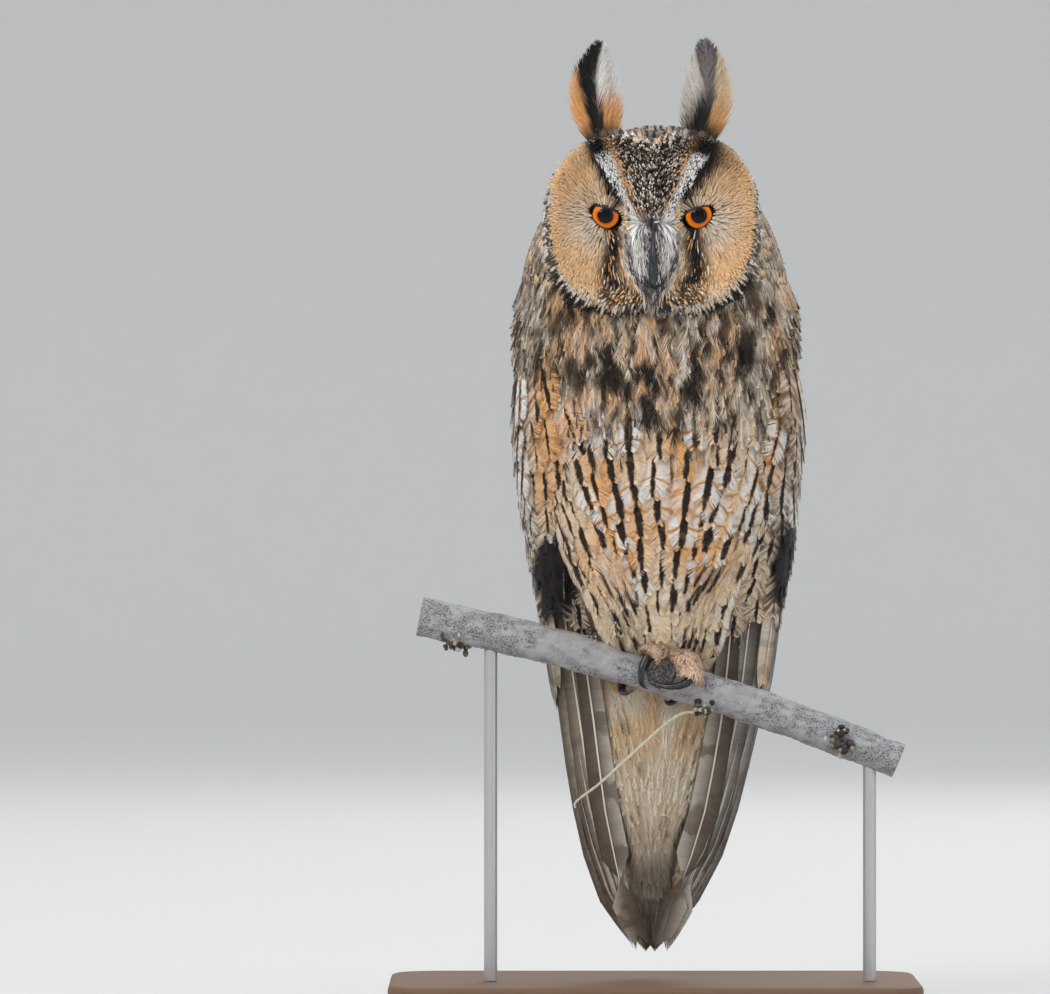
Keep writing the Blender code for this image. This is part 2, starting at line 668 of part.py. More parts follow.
# One flight feather on the wing's surface, its back edge over the next one's front edge
def wing_vane(side, share, half, root_z, tip_z, root_sunk, tip_sunk, tilt, rows):
    t, u = np.meshgrid(np.linspace(0.0, 1.0, rows), np.linspace(-1.0, 1.0, 3), indexing="ij")
    z = root_z + (tip_z - root_z) * t
    z = z + (root_z - tip_z) * 0.05 * np.abs(u) * t ** 4
    near_tip = np.interp(z, (0.022, 0.060), (0.34, 1.0))
    places = np.clip(share + u * half * vane_width(t, 0.8), 0.0, 1.0)
    sunk = root_sunk + (tip_sunk - root_sunk) * t ** 0.8 - tilt * u - 0.0003 * (1.0 - u * u)
    thick = VANE_THICKNESS * (1.0 - 0.3 * t)
    outer = wing_point(side, places, z, (sunk - thick / 2.0) * near_tip)
    inner = wing_point(side, places, z, (sunk + thick / 2.0) * near_tip)
    return sheet("vane", outer, inner, plumage())


def wing_tier(side, tips, first, last, root_z, root_sunk, tip_sunk, tilt, rows):
    count = len(tips)
    step = (last - first) / count
    return [wing_vane(side, first + step * (k + 0.5), step * VANE_OVERLAP, root_z, tip, root_sunk, tip_sunk, tilt, rows)
            for k, tip in enumerate(tips)]


def make_wing(name, side, neighbours):
    share, down = np.meshgrid(np.linspace(0.0, 1.0, WING_COLUMNS), np.linspace(0.0, 1.0, WING_ROWS))
    shoulder = wing_point(side, share, np.full(share.shape, NECK_CUT_Z))
    top = NECK_CUT_Z + NECK_CUT_RISE * shoulder[..., 1] - WING_TOP_DROP
    z = top + (WING_CORE_END_Z - top) * down
    depth = smooth(z, WING_EDGES[:, 0], WING_EDGES[:, 4])
    wing = sheet(name, wing_point(side, share, z, CORE_SUNK * down), wing_point(side, share, z, depth), plumage())
    vanes = wing_tier(side, PRIMARY_TIPS, 0.0, 1.0, 0.176, 0.0040, 0.0019, 0.0008, 8)
    vanes += wing_tier(side, SECONDARY_TIPS, 0.22, 1.0, 0.236, 0.0036, 0.0002, 0.0006, 6)
    vanes += wing_tier(side, COVERT_TIPS, 0.04, 0.98, 0.276, 0.0030, -0.0002, 0.0005, 5)
    fuse(wing, vanes)
    return cut_clear(wing, neighbours)


# The tail: a core of coverts over and under, and tail feathers that reach past it
def make_tail():
    heights = np.concatenate((np.linspace(0.1497, 0.096, 6), (0.088, 0.082, 0.078)))
    tail = body_loft("tail", TAIL_STATIONS, heights, pale_down())
    t, u = np.meshgrid(np.linspace(0.0, 1.0, 6), np.linspace(-1.0, 1.0, 3), indexing="ij")
    vanes = []
    for place in range(-TAIL_PAIRS, TAIL_PAIRS + 1):
        layer = abs(place)
        z = TAIL_ROOT_Z + (TAIL_TIP_Z + 0.0018 * layer - TAIL_ROOT_Z) * t + 0.003 * np.abs(u) * t ** 4
        fold = np.interp(z, (0.036, 0.062, 0.100), (0.40, 0.78, 1.0))
        x = TAIL_STATIONS[-1, 2] + fold * (place * TAIL_SPACING + u * TAIL_VANE_HALF * vane_width(t, 0.9))
        y = TAIL_BACK_Y - TAIL_LAYER * layer - 0.0035 * (1.0 - t) * (1.0 - layer / 6.0) - 0.0003 * (1.0 - u * u)
        thick = VANE_THICKNESS * (1.0 - 0.3 * t)
        front = np.stack((x, y - thick / 2, z), axis=-1)
        behind = np.stack((x, y + thick / 2, z), axis=-1)
        vanes.append(sheet("vane", front, behind, plumage()))
    return fuse(tail, vanes)


# Toes and claws as rows of (place along the bar, angle round it); the bar is what the foot closes on
STANDING_TOES = (
    ((0.0010, -6), (-0.0015, 18), (-0.0036, 38), (-0.0052, 54)),
    ((0.0030, -4), (0.0080, 20), (0.0122, 42), (0.0147, 62), (0.0150, 77)),
    ((-0.0010, -14), (-0.0060, -42), (-0.0092, -80), (-0.0116, -120), (-0.0120, -140)),
    ((0.0040, -14), (0.0090, -42), (0.0118, -80), (0.0124, -112)),
)
STANDING_CLAWS = (
    ((-0.0058, 66), (-0.0062, 86), (-0.0055, 106), (-0.0036, 124), (-0.0012, 137)),
    ((0.0136, 88), (0.0108, 98), (0.0070, 106), (0.0030, 110), (-0.0008, 111)),
    ((-0.0119, -152), (-0.0112, -168), (-0.0094, -184), (-0.0066, -196)),
    ((0.0122, -124), (0.0112, -142), (0.0094, -158), (0.0072, -170)),
)
TUCKED_TOES = (
    ((-0.002, 0), (-0.004, 30), (-0.0045, 60), (-0.0045, 88)),
    ((0.002, 0), (0.004, 30), (0.0045, 60), (0.0045, 88)),
    ((-0.002, -10), (-0.004, -40), (-0.0045, -70), (-0.0045, -95)),
    ((0.002, -10), (0.004, -40), (0.0045, -70), (0.0045, -95)),
)
TUCKED_CLAWS = (
    ((-0.0045, 108), (-0.0043, 128), (-0.0040, 146)),
    ((0.0045, 108), (0.0043, 128), (0.0040, 146)),
    ((-0.0045, -116), (-0.0043, -134), (-0.0040, -150)),
    ((0.0045, -116), (0.0043, -134), (0.0040, -150)),
)
TUCKED_X = -0.018
TUCKED_Y = -0.019
TUCKED_Z = 0.1775
TUCKED_BAR = 0.0030


def by_tucked_bar(x, degrees, out):
    angle = math.radians(degrees)
    return np.array((TUCKED_X + x, TUCKED_Y - out * math.sin(angle), TUCKED_Z + out * math.cos(angle)))


def make_foot(side, place, bar, toes, claws, toe_radius, toe_sides, hub_x):
    hub_radius = toe_radius * 1.45
    foot = ball("foot_" + side, place(hub_x, -6, bar + hub_radius * 0.8), hub_radius, pale_down(), columns=12, rows=8)
    pieces = []
    for row in toes:
        path = [place(x, degrees, bar + toe_radius - TOE_SINK) for x, degrees in eased(row, 6)]
        radii = toe_radius * np.array((1.0, 1.0, 0.94, 0.98, 0.95, 0.62))
        pieces.append(tube("toe", path, radii, toe_sides, pale_down()))
    fuse(foot, pieces)
    made = []
    for number, (toe, claw) in enumerate(zip(toes, claws)):
        start = place(toe[-1][0], toe[-1][1], bar + toe_radius - TOE_SINK)
        out = np.interp(np.arange(len(claw)), (0, len(claw) * 0.4, len(claw) - 1), (0.0030, 0.0036, 0.0012))
        path = [start] + [place(x, degrees, bar + o) for (x, degrees), o in zip(claw, out)]
        path = eased(path, 7)
        radii = CLAW_RADIUS * np.array((1.05, 1.0, 0.92, 0.80, 0.62, 0.40, 0.14))
        made.append(tube("claw_%s_%d" % (side, number + 1), path, radii, 5, horn()))
    return foot, made


def make_leg(side, top, bottom, radius):
    path = [np.array(bottom) + (np.array(top) - np.array(bottom)) * t for t in (0.0, 0.35, 0.7, 1.0)]
    return tube("leg_" + side, path, [radius * f for f in (0.80, 0.88, 1.0, 1.12)], 10, pale_down())


def main():
    clear_scene()
    perch = make_perch()
    make_base()
    make_rod("stand_rod_right", ROD_RIGHT_SIDE_X, perch)
    make_rod("stand_rod_left", ROD_LEFT_SIDE_X, perch)
    make_twig(perch)
    eyes = [make_eye("eye_left", EYE_LEFT_X), make_eye("eye_right", EYE_RIGHT_X)]
    head = make_head(eyes)
    neck = make_neck()
    make_bill(head)
    make_tuft("ear_tuft_right", TUFT_RIGHT, head)
    make_tuft("ear_tuft_left", TUFT_LEFT, head)
    foot_left, claws_left = make_foot("left", by_perch, PERCH_RADIUS, STANDING_TOES, STANDING_CLAWS, TOE_RADIUS, 7, 0.002)
    foot_right, claws_right = make_foot("right", by_tucked_bar, TUCKED_BAR, TUCKED_TOES, TUCKED_CLAWS, 0.0030, 5, 0.0)
    leg_left = make_leg("left", (0.003, -0.016, 0.190), (0.002, -0.0180, 0.1665), 0.0064)
    leg_right = make_leg("right", (-0.016, -0.014, 0.204), (-0.018, -0.0185, 0.184), 0.0058)
    torso = make_torso()
    tail = make_tail()
    # Each cut uses its neighbours while they are still whole and smooth
    for name, side in (("wing_left", 1), ("wing_right", -1)):
        make_wing(name, side, [torso, neck, perch, tail])
    pocket = tube("pocket", [(TUCKED_X, TUCKED_Y, z) for z in (0.188, 0.178, 0.160)], [0.0105] * 3, 14, plumage())
    apply_boolean(torso, [pocket], "DIFFERENCE", "MANIFOLD")
    cut_clear(torso, [perch, leg_left, foot_left, leg_right, foot_right] + claws_left + claws_right)
    cut_clear(tail, [perch, foot_left] + claws_left)
    cut_clear(leg_left, [foot_left])
    cut_clear(leg_right, [foot_right])
    for claw in claws_left:
        cut_clear(claw, [foot_left, perch])
    for claw in claws_right:
        cut_clear(claw, [foot_right])
    cut_clear(foot_left, [perch])


main()
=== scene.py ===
import math
from functools import partial
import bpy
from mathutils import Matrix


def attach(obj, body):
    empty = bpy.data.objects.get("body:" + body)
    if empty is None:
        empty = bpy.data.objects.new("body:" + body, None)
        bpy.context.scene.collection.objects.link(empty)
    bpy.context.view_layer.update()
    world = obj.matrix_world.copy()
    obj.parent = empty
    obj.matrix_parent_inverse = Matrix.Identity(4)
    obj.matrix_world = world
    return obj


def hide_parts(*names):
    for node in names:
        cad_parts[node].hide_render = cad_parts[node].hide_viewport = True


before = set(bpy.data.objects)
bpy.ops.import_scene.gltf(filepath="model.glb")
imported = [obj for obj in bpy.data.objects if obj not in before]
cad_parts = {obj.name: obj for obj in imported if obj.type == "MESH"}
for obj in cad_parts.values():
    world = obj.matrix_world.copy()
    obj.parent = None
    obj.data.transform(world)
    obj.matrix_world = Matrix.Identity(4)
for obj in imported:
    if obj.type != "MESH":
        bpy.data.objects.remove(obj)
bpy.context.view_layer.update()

from types import SimpleNamespace

import bpy
import numpy as np

chance = np.random.default_rng(11)


# A colour as the eye reads it, 0 to 255, turned into the linear values that a shader mixes
def tone(red, green, blue):
    value = np.array((red, green, blue)) / 255.0
    return np.where(value <= 0.04045, value / 12.92, ((value + 0.055) / 1.055) ** 2.4)


plume = SimpleNamespace(
    orange=tone(230, 170, 108),
    buff=tone(226, 192, 150),
    cream=tone(230, 212, 188),
    white=tone(228, 224, 220),
    grey=tone(166, 160, 154),
    brown=tone(92, 70, 52),
    dark=tone(46, 35, 29),
    black=tone(22, 18, 17),
)


# Even random numbers from 0 to 1, in an array of the given shape
def luckOf(shape):
    return chance.uniform(0, 1, shape)


# Values side by side on a new last axis
def beside(*values):
    return np.stack(np.broadcast_arrays(*values), -1)


def unit(vectors):
    return vectors / np.maximum(np.linalg.norm(vectors, axis=-1, keepdims=True), 1e-12)


# 0 below low, 1 above high, eased between
def eased(value, low, high):
    t = np.clip((value - low) / (high - low), 0.0, 1.0)
    return t * t * (3 - 2 * t)


def mixTint(first, second, share):
    share = np.clip(share, 0.0, 1.0)[..., None]
    return first * (1 - share) + second * share


# Smooth noise over a plane: random numbers on a lattice of cells sizeX by sizeZ, eased between
def cloud(x, z, sizeX, sizeZ, seed):
    lattice = np.random.default_rng(seed).uniform(0, 1, (97, 97))
    u = x / sizeX + 500.0
    v = z / sizeZ + 500.0
    i, j = np.floor(u).astype(int), np.floor(v).astype(int)
    s, t = eased(u - i, 0, 1), eased(v - j, 0, 1)
    i, j, k, m = i % 97, j % 97, (i + 1) % 97, (j + 1) % 97
    low = lattice[i, j] * (1 - s) + lattice[k, j] * s
    high = lattice[i, m] * (1 - s) + lattice[k, m] * s
    return low * (1 - t) + high * t


# The mesh of a piece from whole arrays: points, faces of equal size, and values for each point
def meshFrom(name, points, faces, uvs=None, colours=None, values=None):
    mesh = bpy.data.meshes.new(name)
    faces = [faces] if isinstance(faces, np.ndarray) else faces
    corners = np.concatenate([f.ravel() for f in faces]).astype(np.int32)
    sizes = np.concatenate([np.full(len(f), f.shape[1]) for f in faces])
    starts = np.concatenate(([0], np.cumsum(sizes)[:-1])).astype(np.int32)
    mesh.vertices.add(len(points))
    mesh.vertices.foreach_set("co", np.ascontiguousarray(points, np.float32).ravel())
    mesh.loops.add(len(corners))
    mesh.loops.foreach_set("vertex_index", corners)
    mesh.polygons.add(len(starts))
    mesh.polygons.foreach_set("loop_start", starts)
    mesh.update(calc_edges=True)
    for key, uv in (uvs or {}).items():
        mesh.uv_layers.new(name=key).uv.foreach_set("vector", uv[corners].astype(np.float32).ravel())
    for key, colour in (colours or {}).items():
        setTint(mesh, key, colour)
    for key, value in (values or {}).items():
        mesh.attributes.new(key, "FLOAT", "POINT").data.foreach_set("value", value.astype(np.float32))
    return linked(name, mesh)


def setTint(mesh, key, colour):
    full = np.ones((len(colour), 4), np.float32)
    full[:, :3] = colour
    mesh.attributes.new(key, "FLOAT_COLOR", "POINT").data.foreach_set("color", full.ravel())


def linked(name, mesh):
    mesh.polygons.foreach_set("use_smooth", np.full(len(mesh.polygons), True))
    made = bpy.data.objects.new(name, mesh)
    bpy.context.scene.collection.objects.link(made)
    return made


# Angles once round a ring
def ringAngles(sides, full=2 * math.pi):
    return np.linspace(0, full, sides, endpoint=False)


# Two grids: a row of values from ring to ring, and the angles round each ring
def ringGrid(values, sides, full=2 * math.pi):
    return np.meshgrid(values, ringAngles(sides, full), indexing="ij")


# Quads between neighbouring rings of points, each ring closed on itself
def ringFaces(rings, points, start=0):
    r, c = np.meshgrid(np.arange(rings - 1), np.arange(points), indexing="ij")
    d = (c + 1) % points
    near, far = start + r * points, start + (r + 1) * points
    return beside(near + c, near + d, far + d, far + c).reshape(-1, 4)


def ringMesh(name, rings, turned=False, **layers):
    faces = ringFaces(*rings.shape[:2])
    return meshFrom(name, rings.reshape(-1, 3), faces[:, ::-1] if turned else faces, **layers)


# A ring drawn to a point, or nearly
def shrunk(ring, middle, share=1e-4):
    return middle + share * (ring - middle)


def finishPiece(made, finish, slot, *nodes):
    made.data.materials.append(finish)
    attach(made, "root")
    if nodes:
        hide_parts(*nodes)
    print(made.name, len(made.data.loops) - 2 * len(made.data.polygons), "triangles")
    return made


# The photo is 1050 x 994 pixels. One pixel is pixelSize metres at the owl, which faces -Y
photo = {"width": 1050, "height": 994, "pixelSize": 0.00045, "originX": 655, "originY": 965, "originZ": 0.022}
view = {"distance": 4.0, "sensor": 36.0, "focusY": -0.03}


def buildCamera():
    data = bpy.data.cameras.new("photoCamera")
    camera = bpy.data.objects.new("photoCamera", data)
    bpy.context.scene.collection.objects.link(camera)
    x = (photo["width"] / 2 - photo["originX"]) * photo["pixelSize"]
    z = (photo["originY"] - photo["height"] / 2) * photo["pixelSize"] + photo["originZ"]
    camera.location = (x, view["focusY"] - view["distance"], z)
    camera.rotation_euler = (math.pi / 2, 0.0, 0.0)
    data.sensor_width = view["sensor"]
    data.lens = view["sensor"] * view["distance"] / (photo["width"] * photo["pixelSize"])
    data.clip_end = 60.0
    bpy.context.scene.camera = camera


stage = {"floorRadius": 5.2, "wallRadius": 7.5, "wallHeight": 5.0, "colour": tone(212, 212, 210)}


# A wide pale bowl: flat floor, a quarter round and a wall, turned about the vertical
def buildStage():
    bend = np.linspace(0.0, math.pi / 2, 16)
    turn = ringAngles(96)
    deep = stage["wallRadius"] - stage["floorRadius"]
    run = np.concatenate(([0.001], stage["floorRadius"] + deep * np.sin(bend), [stage["wallRadius"]]))
    rise = np.concatenate(([0.0], deep * (1 - np.cos(bend)), [stage["wallHeight"]]))
    run, rise = run[:, None], rise[:, None]
    floor = ringMesh("studioFloor", beside(run * np.cos(turn), run * np.sin(turn), rise))
    floor.data.materials.append(plainMaterial("studioPaint", stage["colour"], 0.9)[0])


lamps = {   # place, size, watts, colour
    "keyLamp": ((-1.7, -2.1, 2.1), 1.6, 40.0, (1.0, 0.98, 0.95)),
    "fillLamp": ((2.4, -2.0, 1.1), 2.2, 12.0, (0.96, 0.98, 1.0)),
    "topLamp": ((0.2, 0.4, 2.8), 2.4, 14.0, (1.0, 1.0, 1.0)),
    "backLamp": ((0.9, 2.4, 1.6), 1.8, 14.0, (1.0, 0.99, 0.97)),
}
air = {"colour": (0.93, 0.96, 1.0, 1.0), "strength": 1.0, "aim": (0.0, 0.0, 0.23)}


def buildLight():
    for name, (place, size, watts, colour) in lamps.items():
        data = bpy.data.lights.new(name, "AREA")
        data.energy = watts
        data.size = size
        data.color = colour
        lamp = bpy.data.objects.new(name, data)
        bpy.context.scene.collection.objects.link(lamp)
        lamp.location = place
        aim = np.array(air["aim"]) - np.array(place)
        lamp.rotation_euler = (math.atan2(math.hypot(aim[0], aim[1]), -aim[2]), 0.0,
                               math.atan2(-aim[0], aim[1]))
        lamp.visible_camera = False
    world = bpy.data.worlds.new("studioAir")
    world.use_nodes = True
    world.node_tree.nodes["Background"].inputs["Color"].default_value = air["colour"]
    world.node_tree.nodes["Background"].inputs["Strength"].default_value = air["strength"]
    bpy.context.scene.world = world
    bpy.context.scene.view_settings.view_transform = "Standard"


# A small hand for node trees: each call adds one node and gives its output
class Wiring:
    def __init__(self, tree):
        self.tree = tree

    def outputs(self, kind, inputs=(), **settings):
        node = self.tree.nodes.new(kind)
        for key, value in settings.items():
            setattr(node, key, value)
        for key, value in dict(inputs).items():
            self.feed(node.inputs[key], value)
        return node.outputs

    def add(self, kind, inputs=(), output=0, **settings):
        return self.outputs(kind, inputs, **settings)[output]

    def feed(self, socket, value):
        if isinstance(value, bpy.types.NodeSocket):
            self.tree.links.new(value, socket)
        elif isinstance(value, (tuple, list, np.ndarray)) and socket.type == "RGBA" and len(value) == 3:
            socket.default_value = (*value, 1.0)
        else:
            socket.default_value = value

    def math(self, operation, first, second=0.0, third=0.0):
        return self.add("ShaderNodeMath", {0: first, 1: second, 2: third}, operation=operation)

    def plus(self, first, second):
        return self.math("ADD", first, second)

    def less(self, first, second):
        return self.math("SUBTRACT", first, second)

    def times(self, first, *others):
        for other in others:
            first = self.math("MULTIPLY", first, other)
        return first

    # 0 below low, 1 above high, eased between
    def step(self, value, low, high):
        return self.add("ShaderNodeMapRange", {"Value": value, "From Min": low, "From Max": high},
                        interpolation_type="SMOOTHSTEP")

    def mix(self, share, first, second):
        return self.add("ShaderNodeMix", {0: share, 6: first, 7: second}, output=2, data_type="RGBA")

    def scale(self, vector, by):
        return self.add("ShaderNodeVectorMath", {0: vector, 3: by}, operation="SCALE")

    def noise(self, vector, size, detail=2.0):
        return self.add("ShaderNodeTexNoise", {"Vector": vector, "Scale": size, "Detail": detail})

    # The place on the piece, in metres
    def place(self):
        return self.add("ShaderNodeTexCoord", output=3)

    def attribute(self, name, output=0):
        return self.add("ShaderNodeAttribute", output=output, attribute_name=name)

    def bump(self, height, strength, distance):
        return self.add("ShaderNodeBump", {"Height": height, "Strength": strength, "Distance": distance})


# A node group from the defaults of its sockets: a number makes a value socket, a colour a colour socket
def newGroup(name, inputs, outputs):
    group = bpy.data.node_groups.new(name, "ShaderNodeTree")
    for way, sockets in (("INPUT", inputs), ("OUTPUT", outputs)):
        for key, value in sockets.items():
            plain = np.isscalar(value)
            kind = "NodeSocketFloat" if plain else "NodeSocketColor"
            socket = group.interface.new_socket(key, in_out=way, socket_type=kind)
            socket.default_value = value if plain else (*value, 1.0)
    given = group.nodes.new("NodeGroupInput").outputs
    end = group.nodes.new("NodeGroupOutput").inputs
    return group, Wiring(group), given, end


# Across runs -1 to 1 over the vane and along 0 to 1 from root to tip. Streak is the half width of the dark
# streak, bars and spots are strengths, and each feather has its own seed
featherInputs = {
    "across": 0.0, "along": 0.0, "tint": plume.buff, "streak": 0.2, "bars": 0.0, "spots": 0.0, "seed": 0.0,
    "streakColour": plume.black, "streakSoft": 0.08, "streakStart": 0.2,
    "barColour": plume.brown, "barCount": 7.0, "barWidth": 0.25, "barSweep": 0.07, "spotColour": plume.white,
    "fleck": 0.3, "rootColour": plume.grey, "rootShade": 1.0, "barbCount": 40.0,
}


def buildFeatherMarkings():
    group, wire, given, end = newGroup("featherMarkings", featherInputs,
                                       {"colour": plume.buff, "height": 0.0})
    place = wire.place()
    along = given["along"]
    away = wire.math("ABSOLUTE", given["across"])
    wander = wire.noise(place, 260.0, 3.0)
    coarse = wire.noise(place, 90.0, 2.0)
    fine = wire.noise(place, 900.0, 3.0)
    shift = wire.plus(wire.times(wire.less(wander, 0.5), 0.34), wire.times(wire.less(fine, 0.5), 0.30))
    # A streak down the shaft, widest before the tip and drawn to a point at the root
    bellied = wire.times(given["streak"], wire.step(along, given["streakStart"], 0.76))
    width = wire.times(bellied, wire.less(1.0, wire.times(wire.step(along, 0.82, 1.02), 0.60)))
    beyond = wire.less(wire.plus(away, shift), width)
    inside = wire.less(1.0, wire.step(beyond, wire.times(given["streakSoft"], -1.0), given["streakSoft"]))
    streak = wire.times(inside, wire.step(given["streak"], 0.0, 0.05))
    # Bars across the vane, which sweep toward the tip at its edges
    swept = wire.less(along, wire.times(away, given["barSweep"]))
    phase = wire.plus(wire.times(swept, given["barCount"]), given["seed"])
    phase = wire.plus(phase, wire.times(wire.less(coarse, 0.5), 0.9))
    wave = wire.math("PINGPONG", phase, 0.5)
    soft = wire.math("MULTIPLY_ADD", given["barWidth"], 1.2, 0.035)
    bar = wire.times(wire.less(1.0, wire.step(wave, wire.times(given["barWidth"], 0.6), soft)), given["bars"])
    # Pale spots between the bars, each side of the shaft
    spot = wire.times(wire.step(away, 0.16, 0.32), wire.step(along, 0.30, 0.45), wire.step(wave, 0.08, 0.17),
                      given["spots"], wire.step(wire.plus(coarse, given["spots"]), 0.62, 1.0))
    # Dark flecks toward the tip
    grain = wire.step(wire.plus(fine, wire.times(away, 0.12)), 0.56, 0.64)
    fleck = wire.times(grain, given["fleck"], wire.step(along, 0.4, 0.8))
    # Single barbs differ a little in tone
    barb = wire.times(along, given["barbCount"])
    cell = {0: wire.math("FLOOR", barb), 1: given["seed"], 2: wire.math("SIGN", given["across"])}
    luck = wire.add("ShaderNodeTexWhiteNoise", {"Vector": wire.add("ShaderNodeCombineXYZ", cell)})
    rooted = wire.times(wire.step(along, 0.30, 0.05), given["rootShade"])
    colour = wire.mix(rooted, given["tint"], given["rootColour"])
    colour = wire.mix(spot, colour, given["spotColour"])
    colour = wire.mix(bar, colour, given["barColour"])
    colour = wire.mix(fleck, colour, given["streakColour"])
    rusty = wire.mix(wire.times(wire.step(wander, 0.50, 0.66), 0.35), given["streakColour"],
                     given["barColour"])
    colour = wire.mix(streak, colour, rusty)
    wire.feed(end["colour"], wire.scale(colour, wire.plus(0.90, wire.times(luck, 0.20))))
    wire.feed(end["height"], wire.times(wire.math("PINGPONG", barb, 0.5), 2.0))
    return group


featherMarkings = buildFeatherMarkings()


def plainMaterial(name, colour, roughness, coat=0.0):
    made = bpy.data.materials.new(name)
    made.use_nodes = True
    shader = made.node_tree.nodes["Principled BSDF"]
    shader.inputs["Base Color"].default_value = (*colour, 1.0)
    shader.inputs["Roughness"].default_value = roughness
    shader.inputs["Coat Weight"].default_value = coat
    shader.inputs["Coat Roughness"].default_value = 0.03
    return made, Wiring(made.node_tree), shader.inputs


def plumageMaterial(name, roughness=0.78, bump=0.25, **settings):
    made, wire, shader = plainMaterial(name, plume.buff, roughness)
    vane = wire.outputs("ShaderNodeSeparateXYZ", {0: wire.add("ShaderNodeUVMap", uv_map="vane")})
    mark = wire.outputs("ShaderNodeSeparateColor", {0: wire.attribute("mark")})
    known = {"across": wire.math("MULTIPLY_ADD", vane[0], 2.0, -1.0), "along": vane[1],
             "seed": wire.attribute("seed", 2), "tint": wire.attribute("tint"),
             "streak": mark[0], "bars": mark[1], "spots": mark[2]}
    group = made.node_tree.nodes.new("ShaderNodeGroup")
    group.node_tree = featherMarkings
    for key, value in {**known, **settings}.items():
        wire.feed(group.inputs[key], value)
    wire.feed(shader["Base Color"], group.outputs["colour"])
    wire.feed(shader["Normal"], wire.bump(group.outputs["height"], bump, 0.0002))
    shader["Specular IOR Level"].default_value = 0.25
    shader["Sheen Weight"].default_value = 0.12
    shader["Sheen Roughness"].default_value = 0.5
    return made


# Smooth curve through stations: a cubic between each pair, with the slopes of their neighbours
def smoothRow(x, xs, ys):
    slopes = np.gradient(ys, xs)
    x = np.clip(x, xs[0], xs[-1])
    k = np.clip(np.searchsorted(xs, x) - 1, 0, len(xs) - 2)
    h = xs[k + 1] - xs[k]
    t = (x - xs[k]) / h
    return ((1 + 2 * t) * (1 - t) ** 2 * ys[k] + t * (1 - t) ** 2 * h * slopes[k]
            + t * t * (3 - 2 * t) * ys[k + 1] + t * t * (t - 1) * h * slopes[k + 1])


# Rows of points turned into more points on a smooth path
def easedRow(points, count):
    points = np.asarray(points, float)
    steps = np.linspace(0, len(points) - 1, count)
    return beside(*(smoothRow(steps, np.arange(len(points), dtype=float), column) for column in points.T))


# A tube of round rings along a path, closed at both ends by rings drawn to a point
def tubePoints(path, radii, sides, hint=(0.0, 1.0, 0.3)):
    along = unit(np.gradient(path, axis=0))
    side = unit(np.cross(along, np.array(hint)))
    angle = ringAngles(sides)[None, :, None]
    spoke = np.cos(angle) * side[:, None] + np.sin(angle) * np.cross(along, side)[:, None]
    rings = path[:, None] + radii[:, None, None] * spoke
    first, last = shrunk(rings[:1], path[:1, None], 1e-5), shrunk(rings[-1:], path[-1:, None], 1e-5)
    return np.concatenate((first, rings, last))


# Sections of the feathered body from the crown down: height, half width, middle x, front y, back y
bodyStations = np.array((
    (0.4003, 0.0000, 0.002, -0.013, -0.013), (0.3998, 0.0110, 0.002, -0.026, 0.000),
    (0.3960, 0.0255, 0.002, -0.034, 0.009), (0.3900, 0.0350, 0.002, -0.039, 0.016),
    (0.3800, 0.0425, 0.001, -0.042, 0.024), (0.3680, 0.0480, 0.000, -0.043, 0.031),
    (0.3550, 0.0545, 0.000, -0.043, 0.037), (0.3400, 0.0600, 0.000, -0.043, 0.041),
    (0.3210, 0.0630, 0.001, -0.043, 0.045), (0.3030, 0.0640, 0.001, -0.046, 0.047),
    (0.2860, 0.0625, 0.001, -0.049, 0.047), (0.2700, 0.0600, 0.002, -0.051, 0.045),
    (0.2540, 0.0585, 0.002, -0.052, 0.043), (0.2310, 0.0545, 0.002, -0.051, 0.040),
    (0.2040, 0.0475, 0.002, -0.046, 0.035), (0.1820, 0.0410, 0.002, -0.038, 0.031),
    (0.1680, 0.0375, 0.003, -0.030, 0.029), (0.1580, 0.0350, 0.003, -0.016, 0.027),
    (0.1480, 0.0320, 0.003, -0.0085, 0.0255),
))
wingStations = np.array((
    (0.3080, 0.0648, 0.001, -0.045, 0.047), (0.2960, 0.0662, 0.001, -0.047, 0.049),
    (0.2760, 0.0672, 0.002, -0.050, 0.050), (0.2540, 0.0664, 0.002, -0.050, 0.048),
    (0.2310, 0.0642, 0.002, -0.043, 0.045), (0.2040, 0.0605, 0.003, -0.031, 0.041),
    (0.1820, 0.0560, 0.003, -0.019, 0.037), (0.1590, 0.0520, 0.003, -0.012, 0.034),
    (0.1410, 0.0488, 0.003, -0.011, 0.031), (0.1190, 0.0440, 0.002, -0.009, 0.028),
    (0.0960, 0.0385, 0.001, -0.006, 0.025), (0.0740, 0.0320, 0.000, -0.002, 0.022),
    (0.0510, 0.0216, -0.002, 0.003, 0.019), (0.0340, 0.0105, -0.002, 0.007, 0.016),
    (0.0240, 0.0040, -0.001, 0.009, 0.014),
))[::-1]
tailStations = np.array((
    (0.1497, 0.0330, 0.003, -0.0080, 0.0250), (0.1300, 0.0270, 0.002, -0.0080, 0.0210),
    (0.1100, 0.0230, 0.001, -0.0060, 0.0180), (0.0920, 0.0180, 0.000, -0.0030, 0.0140),
    (0.0780, 0.0090, -0.001, 0.0010, 0.0090),
))[::-1]
